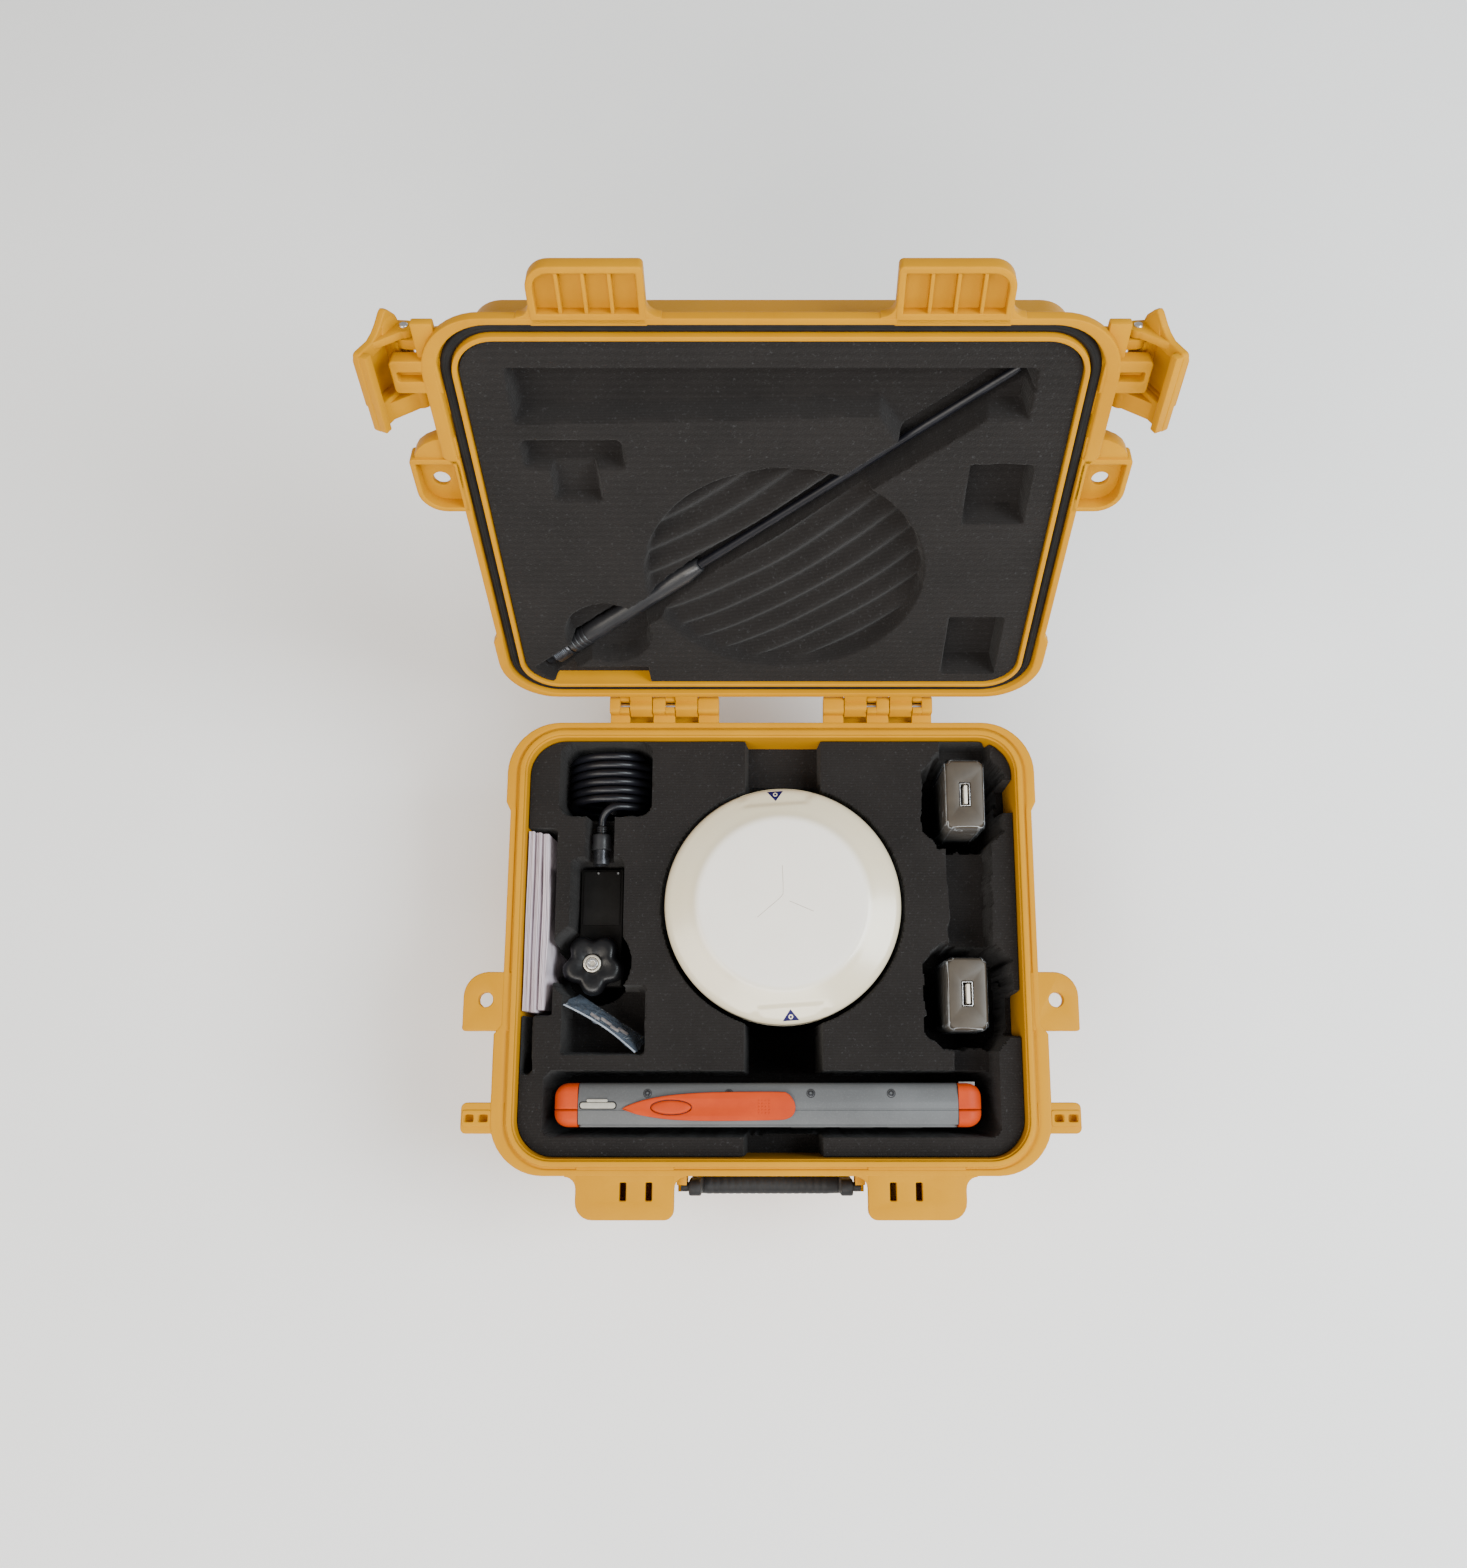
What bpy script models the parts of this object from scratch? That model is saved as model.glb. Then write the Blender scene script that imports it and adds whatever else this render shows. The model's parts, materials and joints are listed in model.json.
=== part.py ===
"""A surveyor's GNSS receiver as a complete field kit.

The round receiver, its hand-held controller and their accessories stand in the foam of a hinged
hard case, which is open.  World axes: +X to the right as you face the open case, +Y towards the
hinge, +Z up.  The origin is the centre of the case's underside.  Sizes below are millimetres.
The lid and all that it carries are modelled closed and then turned open about the hinge.
"""

import math

import bmesh
import bpy
from mathutils import Matrix, Vector

MM = 0.001

# ---- driving dimensions of the case --------------------------------------------------------------
RIM_Z = 122.0            # height of the base's rim above the table
LID_GAP = 0.3            # lid rim above base rim when closed
LID_TOP_Z = 158.0        # top of the closed lid
OPEN_HALF_X = 135.2      # inner opening at the rim
OPEN_HALF_Y = 113.6
OPEN_CORNER = 20.0
FLANGE = 8.8             # rim flange beyond the inner opening
FRONT_BULGE = 4.0        # the flange is this much wider from the padlock ears to the front
REAR_BULGE = 2.5         # and this much at the rear corners
HINGE_Y, HINGE_Z = 131.4, 122.8
LID_OPEN_DEG = 112.6

BASE_FOAM_TOP = 116.0
FLOOR_PAD_TOP = 16.3
LID_FOAM_FACE = 123.8    # face of the lid's foam, closed
LID_DISH_Z = 130.0       # floor of the dish over the receiver, closed

# ---- driving dimensions of what the case holds ---------------------------------------------------
RECEIVER_X, RECEIVER_Y = 6.5, 20.5
RECEIVER_Z = 16.6        # underside of the receiver
RECEIVER_R = 64.8
RECEIVER_H = 111.4

CONTROLLER_Y = (-97.7, -74.9)
CONTROLLER_Z = (35.0, 125.0)

KNOB_X, KNOB_Y = -98.7, -10.6
COIL_X, COIL_Z = -92.2, 87.0
CABLE_D = 4.4
COIL_MEAN_R = 22.0

WHIP_TIP = Vector((108.0, -90.0, 134.5))
WHIP_END = Vector((-121.5, 103.0, 134.5))

GAP = 0.3                # clearance that touching pieces keep
EDGE = 0.6               # width of the bevel on moulded edges


# ---- materials -----------------------------------------------------------------------------------
def material(name, rgb, roughness, metallic=0.0, alpha=1.0):
    found = bpy.data.materials.get(name)
    if found:
        return found
    made = bpy.data.materials.new(name)
    made.use_nodes = True
    shader = made.node_tree.nodes["Principled BSDF"]
    shader.inputs["Base Color"].default_value = (*rgb, 1.0)
    shader.inputs["Roughness"].default_value = roughness
    shader.inputs["Metallic"].default_value = metallic
    shader.inputs["Alpha"].default_value = alpha
    return made


def yellow():
    return material("yellow_case", (0.78, 0.43, 0.02), 0.45)


def foam():
    return material("black_foam", (0.018, 0.017, 0.018), 0.95)


def rubber():
    return material("black_rubber", (0.02, 0.02, 0.022), 0.7)


def black_plastic():
    return material("black_plastic", (0.02, 0.02, 0.022), 0.4)


def white_plastic():
    return material("white_plastic", (0.80, 0.77, 0.70), 0.35)


def grey_plastic():
    return material("grey_plastic", (0.22, 0.23, 0.24), 0.5)


def dark_grey():
    return material("dark_housing", (0.07, 0.075, 0.08), 0.45)


def orange():
    return material("orange_rubber", (0.80, 0.16, 0.03), 0.55)


def steel():
    return material("steel", (0.62, 0.62, 0.62), 0.3, 1.0)


def brass():
    return material("brass", (0.72, 0.55, 0.25), 0.3, 1.0)


def aluminium():
    return material("aluminium", (0.70, 0.71, 0.72), 0.35, 1.0)


def board_green():
    return material("circuit_board", (0.02, 0.16, 0.06), 0.5)


def ceramic():
    return material("antenna_ceramic", (0.62, 0.56, 0.44), 0.6)


def glass():
    return material("screen_glass", (0.02, 0.02, 0.025), 0.1)


def paper():
    return material("paper", (0.72, 0.68, 0.70), 0.7)


def film():
    return material("clear_film", (0.75, 0.82, 0.88), 0.2, 0.0, 0.5)


# ---- outlines ------------------------------------------------------------------------------------
def arc(cx, cy, r, start_deg, end_deg, steps):
    """steps + 1 points of an arc, counter-clockwise when end is above start."""
    points = []
    for i in range(steps + 1):
        a = math.radians(start_deg + (end_deg - start_deg) * i / steps)
        points.append((cx + r * math.cos(a), cy + r * math.sin(a)))
    return points


def rounded_box(x0, x1, y0, y1, r, steps=4):
    """Counter-clockwise rounded rectangle; r is one radius or four, from the x1,y1 corner round."""
    radii = [r] * 4 if isinstance(r, (int, float)) else r
    corners = [(x1, y1, -1, -1, 0), (x0, y1, 1, -1, 90), (x0, y0, 1, 1, 180), (x1, y0, -1, 1, 270)]
    points = []
    for (cx, cy, sx, sy, start), radius in zip(corners, radii):
        if radius <= 0:
            points.append((cx, cy))
        else:
            points += arc(cx + sx * radius, cy + sy * radius, radius, start, start + 90, steps)
    return points


def case_outline(offset, bulge=0.0, steps=4):
    """The case's rounded outline, offset outwards from the inner opening.

    bulge is the share of the flange's bulges that this outline takes: the flange is wider
    in front of the padlock ears and at the rear corners.
    """
    hx, hy = OPEN_HALF_X + offset, OPEN_HALF_Y + offset
    r = max(OPEN_CORNER + offset, 4.0)
    side = [-50.0, -44.0, 72.0, 77.0]
    right_up = [(hx, y) for y in side]
    left_down = [(-hx, y) for y in reversed(side)]
    points = arc(hx - r, hy - r, r, 0, 90, steps) + arc(r - hx, hy - r, r, 90, 180, steps)
    points += left_down + arc(r - hx, r - hy, r, 180, 270, steps)
    points += arc(hx - r, r - hy, r, 270, 360, steps) + right_up
    if bulge:
        points = [(x + math.copysign(bulge * side_bulge(y), x), y) for x, y in points]
    return points


def side_bulge(y):
    if y < -49:
        return FRONT_BULGE
    return REAR_BULGE if y > 76 else 0.0


# ---- solids: every builder returns a bmesh in millimetres ----------------------------------------
def loft(loops, closed=False):
    """Skins loops of equal length. The ends are capped, or joined to each other if closed."""
    bm = bmesh.new()
    rows = [[bm.verts.new(p) for p in loop] for loop in loops]
    count = len(rows[0])
    pairs = list(zip(rows, rows[1:])) + ([(rows[-1], rows[0])] if closed else [])
    for a, b in pairs:
        for i in range(count):
            j = (i + 1) % count
            bm.faces.new((a[i], a[j], b[j], b[i]))
    if not closed:
        bm.faces.new(rows[0][::-1])
        bm.faces.new(rows[-1])
    bmesh.ops.recalc_face_normals(bm, faces=bm.faces)
    return bm


def prism(outline, z0, z1):
    return loft([[(x, y, z) for x, y in outline] for z in (z0, z1)])


def box(x0, x1, y0, y1, z0, z1):
    return prism([(x1, y1), (x0, y1), (x0, y0), (x1, y0)], z0, z1)


def lathe(profile, steps, centre=(0, 0, 0), closed=False, axis="Z"):
    """Turns (radius, height) points about an axis; a radius of 0 lies on it.

    The ends are capped, or joined to each other if closed.
    """
    bm = bmesh.new()
    rows = []
    for r, h in profile:
        if r <= 0:
            rows.append([bm.verts.new((0, 0, h))])
            continue
        turn = [2 * math.pi * i / steps for i in range(steps)]
        rows.append([bm.verts.new((r * math.cos(a), r * math.sin(a), h)) for a in turn])
    pairs = list(zip(rows, rows[1:])) + ([(rows[-1], rows[0])] if closed else [])
    for a, b in pairs:
        for i in range(steps):
            j = (i + 1) % steps
            corners = list(dict.fromkeys([a[i % len(a)], a[j % len(a)], b[j % len(b)], b[i % len(b)]]))
            if len(corners) > 2:
                bm.faces.new(corners)
    if not closed:
        for row in (rows[0], rows[-1]):
            if len(row) > 1:
                bm.faces.new(row)
    turned = {"Z": Matrix.Identity(4), "X": Matrix.Rotation(math.pi / 2, 4, "Y"),
              "Y": Matrix.Rotation(-math.pi / 2, 4, "X")}[axis]
    bmesh.ops.transform(bm, matrix=Matrix.Translation(centre) @ turned, verts=bm.verts)
    bmesh.ops.recalc_face_normals(bm, faces=bm.faces)
    return bm


def rod(axis, centre, r, low, high, steps=16):
    """A plain cylinder along an axis, from low to high measured from centre."""
    return lathe([(r, low), (r, high)], steps, centre, axis=axis)


def bevel_sharp(bm, width):
    """Bevels every edge whose faces meet at more than 60 degrees."""
    sharp = [e for e in bm.edges if e.is_manifold and e.calc_face_angle(0) > math.radians(60)]
    bmesh.ops.bevel(bm, geom=sharp, offset=width, segments=1, profile=0.5, affect="EDGES",
                    clamp_overlap=True)
    bmesh.ops.recalc_face_normals(bm, faces=bm.faces)
    return bm


def mirror_x(bm):
    """The same solid on the other side of the case."""
    bmesh.ops.scale(bm, vec=(-1, 1, 1), verts=bm.verts)
    bmesh.ops.recalc_face_normals(bm, faces=bm.faces)
    return bm


# ---- objects -------------------------------------------------------------------------------------
class Body:
    """An empty on a joint's axis. Pieces and other bodies hang on it; places are world millimetres
    with the lid closed."""

    def __init__(self, name, origin, parent=None):
        self.origin = Vector(origin)
        self.empty = bpy.data.objects.new("axis_" + name, None)
        self.empty.empty_display_size = 0.02
        bpy.context.scene.collection.objects.link(self.empty)
        above = parent.origin if parent else Vector((0, 0, 0))
        self.empty.parent = parent.empty if parent else None
        self.empty.location = (self.origin - above) * MM

    def piece(self, name, bm, finish, smooth_deg=35):
        return make_object(name, bm, finish, self, smooth_deg)


def make_object(name, bm, finish, body=None, smooth_deg=35):
    origin = body.origin if body else Vector((0, 0, 0))
    bmesh.ops.transform(bm, matrix=Matrix.Scale(MM, 4) @ Matrix.Translation(-origin), verts=bm.verts)
    mesh = bpy.data.meshes.new(name)
    bm.to_mesh(mesh)
    bm.free()
    mesh.materials.append(finish)
    mesh.shade_smooth()
    mesh.set_sharp_from_angle(angle=math.radians(smooth_deg))
    obj = bpy.data.objects.new(name, mesh)
    bpy.context.scene.collection.objects.link(obj)
    if body:
        obj.parent = body.empty
    return obj


def combine(obj, operation, solids, body=None):
    """Joins solids to obj, or cuts them from it, one Boolean for each."""
    for i, bm in enumerate(solids):
        tool = make_object(f"{obj.name}_{operation.lower()}_{i}", bm, obj.data.materials[0], body)
        tool.hide_render = True
        tool.display_type = "WIRE"
        modifier = obj.modifiers.new(f"{operation.title()} {i}", "BOOLEAN")
        modifier.operation = operation
        modifier.solver = "EXACT"
        modifier.object = tool


def add(obj, *solids, body=None):
    combine(obj, "UNION", solids, body)


def cut(obj, *solids, body=None):
    combine(obj, "DIFFERENCE", solids, body)


# ---- the case's base -----------------------------------------------------------------------------
EAR_X, EAR_Y, EAR_HOLE_R = 153.0, -31.3, 3.9
CATCH_Y = (-101.0, -85.0)
PLATE_X, PLATE_FRONT_Y = (50.5, 102.0), -144.5
HANDLE_PIVOT = Vector((0, -128.5, 109.0))
KNUCKLE_R, PIN_R, PIN_HOLE_R = 5.2, 1.5, 1.65
LID_KNUCKLES = ((-78.7, -66.3), (-53.4, -41.0))
BASE_KNUCKLES = ((-90.0, -79.0), (-66.0, -53.7), (-40.7, -29.2))


def both_sides(build, *args):
    """The right-hand solid and its mirror image."""
    return [build(*args), mirror_x(build(*args))]


def tub():
    """The base's moulded tub: bottom, drafted wall, flange, groove, sealing tongue and inside."""
    rows = [(-7, 2, 0), (-3, 5, 0), (3.0, 110, 0), (FLANGE, 112, 1), (FLANGE, 121.2, 1), (8.0, RIM_Z, 1),
            (6.0, RIM_Z, 0), (5.6, 121, 0), (4.4, 121, 0), (4.1, 124.0, 0), (1.3, 124.0, 0),
            (1.0, RIM_Z, 0), (0.4, RIM_Z, 0), (0, 121.5, 0), (-4.6, 5, 0)]
    return loft([[(x, y, z) for x, y in case_outline(off, bulge)] for off, z, bulge in rows])


def ear_outline(y0, tip_x):
    """A padlock ear whose hinge-side corner is rounded."""
    return rounded_box(141.4, tip_x, y0, -16.5, [12, 0, 0, 2], 5)


def base_ear():
    return bevel_sharp(prism(ear_outline(-47.8, 165.0), 115.5, RIM_Z), EDGE)


def ear_gusset():
    """The web that carries a base ear down to the wall."""
    return loft([[(136.5, y, 92), (138.5, y, 92), (160, y, 116), (136.5, y, 116)] for y in (-46, -43)])


def catch_block():
    """The block on the rim that a latch hooks under."""
    outline = rounded_box(141.4, 163.5, *CATCH_Y, [3, 0, 0, 3], 2)
    return bevel_sharp(prism(outline, 114.0, RIM_Z), EDGE)


def catch_pocket(x):
    return prism(rounded_box(x - 2.4, x + 2.4, -94.8, -91.2, 1.0, 2), 118.5, RIM_Z + 2)


def front_plate():
    """The flat tab over each corner post at the front."""
    outline = rounded_box(*PLATE_X, PLATE_FRONT_Y, -119.8, [0, 0, 5, 9], 3)
    return bevel_sharp(prism(outline, 116.5, RIM_Z), EDGE)


def plate_web(x):
    """Upright ribs under the front tab, which let the case stand on its front."""
    rows = [[(x - 1.5, low, z), (x + 1.5, low, z), (x + 1.5, top, 117), (x - 1.5, top, 117)]
            for low, top, z in ((-111.7, -115.0, 40.0), (-116.5, -120.0, 44.0), (-143.0, -143.0, 96.0))]
    return loft(rows)


def plate_slot(x):
    return box(x - 1.7, x + 1.7, -134.8, -125.6, 110, RIM_Z + 2)


def handle_lug():
    """The lug beside the handle that its trunnion turns in."""
    outline = [(-114.6, 98.0), (-128.5, 102.0), *arc(-128.5, 109.0, 6.0, 240, 440, 6), (-114.6, 115.0)]
    return loft([[(x, y, z) for y, z in outline] for x in (44.3, 49.6)])


def knuckle(span, web_low, web_high, web_y0):
    """A hinge barrel on the hinge's axis, and the web that joins it to its half of the case."""
    barrel = rod("X", (0, HINGE_Y, HINGE_Z), KNUCKLE_R, *span, 12)
    web = box(span[0], span[1], web_y0, HINGE_Y - 1.0, web_low, web_high)
    return barrel, web


def hinge_side(spans, sign):
    return [span if sign < 0 else (-span[1], -span[0]) for span in spans]


def foot(x, y):
    return prism(rounded_box(x - 14, x + 14, y - 9, y + 9, 5, 3), 0, 3.5)


def make_base_shell():
    shell = make_object("base_shell", tub(), yellow())
    extra = both_sides(base_ear) + both_sides(ear_gusset) + both_sides(catch_block)
    extra += both_sides(front_plate) + both_sides(handle_lug)
    for x in (58.0, 94.0):
        extra += both_sides(plate_web, x)
    extra += [foot(sx * 104, sy * 84) for sx in (-1, 1) for sy in (-1, 1)] + [foot(0, 0)]
    for sign in (-1, 1):
        for span in hinge_side(BASE_KNUCKLES, sign):
            extra += knuckle(span, 117.4, HINGE_Z - 0.9, 119.9)
    add(shell, *extra)
    holes = both_sides(rod, "Z", (EAR_X, EAR_Y, 0), EAR_HOLE_R, 100, 130, 16)
    for x in (150.5, 159.0):
        holes += both_sides(catch_pocket, x)
    for x in (63.7, 77.2):
        holes += both_sides(plate_slot, x)
    for sign in (-1, 1):
        groups = hinge_side(BASE_KNUCKLES, sign)
        low, high = min(span[0] for span in groups) + 2.0, max(span[1] for span in groups) + 1.0
        holes.append(rod("X", (0, HINGE_Y, HINGE_Z), PIN_HOLE_R, low, high, 12))
        holes += pin_windows(groups, sign)
    holes += both_sides(rod, "X", tuple(HANDLE_PIVOT), 2.7, 43.0, 48.2, 12)
    cut(shell, *holes)


def pin_windows(groups, sign):
    """Slots in the first two base knuckles of a group, through which its pin shows."""
    windows = []
    for span in (groups[:2] if sign < 0 else groups[1:]):
        edge = span[1] if sign < 0 else span[0]
        x0, x1 = sorted((edge + 1.0 * -sign, edge + sign * 5.6))
        windows.append(box(x0, x1, HINGE_Y - 2.4, HINGE_Y + 2.4, HINGE_Z, HINGE_Z + 8))
    return windows


def make_hinge_pins():
    for name, sign in (("hinge_pin_left", -1), ("hinge_pin_right", 1)):
        groups = hinge_side(BASE_KNUCKLES, sign)
        low, high = min(s[0] for s in groups) + 2.4, max(s[1] for s in groups) - 0.2
        make_object(name, rod("X", (0, HINGE_Y, HINGE_Z), PIN_R, low, high, 12), steel())


# ---- the base's foam -----------------------------------------------------------------------------
def pocket(outline, floor):
    return prism(outline, floor, BASE_FOAM_TOP + 5)


CHANNEL_X = (-13.8, 27.0)
RECEIVER_POCKET_R = 67.6


def charger_pocket(cx, cy, hx, hy):
    """A charger's pocket: a rectangle whose corners are cut off."""
    k = 9.0
    corners = [(hx, hy - k), (hx - k, hy), (k - hx, hy), (-hx, hy - k),
               (-hx, k - hy), (k - hx, -hy), (hx - k, -hy), (hx, k - hy)]
    return [(cx + x, cy + y) for x, y in corners]


def make_base_foam():
    rows = [(-4.9, FLOOR_PAD_TOP + GAP), (-0.7, BASE_FOAM_TOP)]
    block = loft([[(x, y, z) for x, y in case_outline(off)] for off, z in rows])
    block_foam = make_object("base_foam", block, foam())
    x0, x1 = CHANNEL_X
    cut(block_foam,
        rod("Z", (RECEIVER_X, RECEIVER_Y, 0), RECEIVER_POCKET_R, 10, 130, 36),
        pocket(rounded_box(x0, x1, 70, 125, 2, 2), 36),
        pocket(rounded_box(x0, x1, -72, -30, 2, 2), 36),
        pocket(rounded_box(x0, x1, -125, -95, 2, 2), 78),
        pocket(rounded_box(-120.4, 120.9, -102.0, -69.2, 4, 3), 34.5),
        pocket(rounded_box(-117.2, -67.4, 71, 125, [0, 0, 5, 5], 3), 61),
        pocket(rounded_box(-102, -88, 30, 76, 0), 99.6),
        pocket(arc(KNOB_X, KNOB_Y, 21.5, 0, 345, 23), 55),
        pocket(rounded_box(-109, -82, -8, 45.5, 3, 2), 55),
        pocket(rounded_box(-112, -69, -59, -24, 2, 2), 84),
        pocket(rounded_box(-142, -119.3, -38.8, 62.5, 1.5, 2), 44),
        pocket(rounded_box(-142, -129.0, -69.5, -30, 1.5, 2), 84),
        pocket(charger_pocket(107.3, 79.0, 22.6, 26.2), 60),
        pocket(charger_pocket(106.8, -29.0, 22.8, 27.5), 60),
        pocket(rounded_box(98, 120.6, -6, 60, 0), 96),
        pocket(rounded_box(99, 121, -80, -50, 0), 96),
        pocket(rounded_box(95.4, 122, 98, 125, 0), 100),
        pocket(rounded_box(127.5, 142, 71, 91, 0), 90),
        pocket(rounded_box(127.5, 142, -50, -27, 0), 90))


def make_floor_pad():
    """The pad under the foam, with a hole that clears the receiver's pole insert."""
    rows = [(-5.6, 5 + GAP), (-5.4, FLOOR_PAD_TOP)]
    block = loft([[(x, y, z) for x, y in case_outline(off)] for off, z in rows])
    pad = make_object("foam_floor_pad", block, foam())
    cut(pad, rod("Z", (RECEIVER_X, RECEIVER_Y, 0), 14.0, 0, 30, 24))


# ---- the handle ----------------------------------------------------------------------------------
def make_handle():
    """The carrying handle, folded down against the front, with its own trunnions."""
    body = Body("handle", HANDLE_PIVOT)
    grip = lathe([(5.2, -43.4), (5.6, -30), (5.6, 30), (5.2, 43.4)], 12, (0, -129.0, 77.0), axis="X")
    handle = body.piece("handle", grip, black_plastic())
    arm = loft([[(x, y, z) for y, z in rounded_box(-133.2, -124.8, 76.0, 113.2, 4.0, 3)]
                for x in (37.0, 43.4)])
    arms = [arm, mirror_x(arm.copy())]
    stubs = both_sides(rod, "X", tuple(HANDLE_PIVOT), 2.4, 40.0, 47.6, 12)
    add(handle, *arms, *stubs, body=body)


# ---- the lid, modelled closed --------------------------------------------------------------------
LID_RIM_Z = RIM_Z + LID_GAP
PAD_X, PAD_FRONT_Y = (50.6, 98.2), -146.0
LATCH_AXIS = Vector((154.0, 0.0, 134.5))
LATCH_Y = (-116.0, -70.0)
LATCH_REST_DEG = 27.0


def lid_tray():
    rows = [(-30, 156.6, 0), (-27, LID_TOP_Z, 0), (-11, LID_TOP_Z, 0), (-3.5, 155, 0), (0.8, 131, 0),
            (FLANGE, 130, 1), (FLANGE, 123.2, 1), (8.0, LID_RIM_Z, 1), (5.5, LID_RIM_Z, 0), (5.5, 126.8, 0),
            (0.2, 126.8, 0), (0.2, LID_RIM_Z, 0), (-2.2, LID_RIM_Z, 0), (-2.4, 124.5, 0),
            (-6.2, 153.6, 0)]
    return loft([[(x, y, z) for x, y in case_outline(off, bulge)] for off, z, bulge in rows])


def lid_pad():
    """The bumper box over each front tab of the base, hollow towards it."""
    outline = rounded_box(*PAD_X, PAD_FRONT_Y, -119.8, [0, 0, 2, 10], 3)
    return bevel_sharp(prism(outline, LID_RIM_Z, 133.0), EDGE)


def pad_cells():
    """The four cells between a pad's ribs."""
    cells = []
    edges = [53.6, 64.2, 74.8, 85.4, 95.2]
    for left, right in zip(edges, edges[1:]):
        cells.append(box(left + 0.7, right - 0.7, -142.8, -124.6, 110, 131.0))
    return cells


def lid_ear():
    return bevel_sharp(prism(ear_outline(-48.0, 164.0), LID_RIM_Z, 131.5), EDGE)


def lid_ear_pocket():
    return prism(rounded_box(142.5, 160.8, -44.8, -19.5, [9, 0, 0, 1], 4), 110, 129.0)


def latch_lug(y0, y1):
    """A lug on the lid's side wall that carries the latch's pin."""
    x, z = LATCH_AXIS.x, LATCH_AXIS.z
    outline = [(132.0, 128.5), *arc(x, z, 4.2, -90, 90, 6), (132.0, z + 7.0)]
    return loft([[(u, y, w) for u, w in outline] for y in (y0, y1)])


def latch_box():
    """The boss that meets the base's catch block."""
    outline = rounded_box(141.4, 161.0, -100.0, -86.4, [2, 0, 0, 2], 2)
    return bevel_sharp(prism(outline, LID_RIM_Z, 129.5), EDGE)


def make_lid_shell(body):
    shell = body.piece("lid_shell", lid_tray(), yellow())
    extra = both_sides(lid_pad) + both_sides(lid_ear) + both_sides(latch_box)
    for span in ((-106.2, -101.4), (-84.6, -79.8)):
        extra += both_sides(latch_lug, *span)
    for sign in (-1, 1):
        for span in hinge_side(LID_KNUCKLES, sign):
            extra += knuckle(span, LID_RIM_Z, 127.6, 119.9)
    add(shell, *extra, body=body)
    holes = both_sides(lid_ear_pocket)
    holes += both_sides(rod, "Z", (EAR_X, EAR_Y, 0), EAR_HOLE_R, 110, 140, 16)
    for cell in pad_cells():
        holes += [cell, mirror_x(cell.copy())]
    holes += both_sides(prism, rounded_box(145.6, 158.6, -95.4, -91.0, 0.8, 2), 110, 127.5)
    holes += both_sides(rod, "Y", tuple(LATCH_AXIS), PIN_HOLE_R, -110, -76, 12)
    for sign in (-1, 1):
        for low, high in hinge_side(LID_KNUCKLES, sign):
            holes.append(rod("X", (0, HINGE_Y, HINGE_Z), PIN_HOLE_R, low - 1, high + 1, 12))
    cut(shell, *holes, body=body)


def make_gasket(body):
    rows = [(0.6, 126.5), (0.5, 125.2), (1.6, 124.4), (4.1, 124.4), (5.2, 125.2), (5.1, 126.5)]
    ring = loft([[(x, y, z) for x, y in case_outline(off)] for off, z in rows], closed=True)
    body.piece("lid_gasket", ring, rubber())


def make_lid_foam(body):
    rows = [(-2.9, LID_FOAM_FACE), (-6.6, 153.2)]
    block = loft([[(x, y, z) for x, y in case_outline(off)] for off, z in rows])
    lid_foam = body.piece("lid_foam", block, foam())

    def recess(outline, floor):
        return prism(outline, 110, floor)

    bar = [(-112, -95.5), (112, -95.5), (112, -71), (82, -71), (61, -52), (48, -72.5), (-112, -68)]
    cut(lid_foam,
        recess(bar, 137.0),
        recess(rounded_box(-111.5, -67.5, -57, -42.0, 1.5, 2), 134.0),
        recess(rounded_box(-100, -79.5, -43, -22, 1.5, 2), 131.0),
        rod("Z", (RECEIVER_X, RECEIVER_Y + 7.5, 0), 69.0, 110, LID_DISH_Z, 36),
        recess(rounded_box(91.5, 119.5, -43, -8, 1.5, 2), 138.0),
        recess(rounded_box(93, 120.5, 59.5, 103.0, 1.5, 2), 138.0),
        recess(arc(-85.5, 71.5, 22.0, 0, 345, 18), 136.0),
        recess(rounded_box(-118, -66.5, 99.0, 125, 0), 132.0),
        whip_slot(),
        body=body)


def whip_slot():
    """The straight groove that the whip antenna lies in."""
    along = (WHIP_TIP - WHIP_END).normalized()
    across = Vector((-along.y, along.x, 0)) * 6.6
    a, b = WHIP_END - along * 1.2, WHIP_TIP + along * 1.2
    corners = [a - across, b - across, b + across, a + across]
    return loft([[(c.x, c.y, z) for c in corners] for z in (110, 141.0)])


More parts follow.
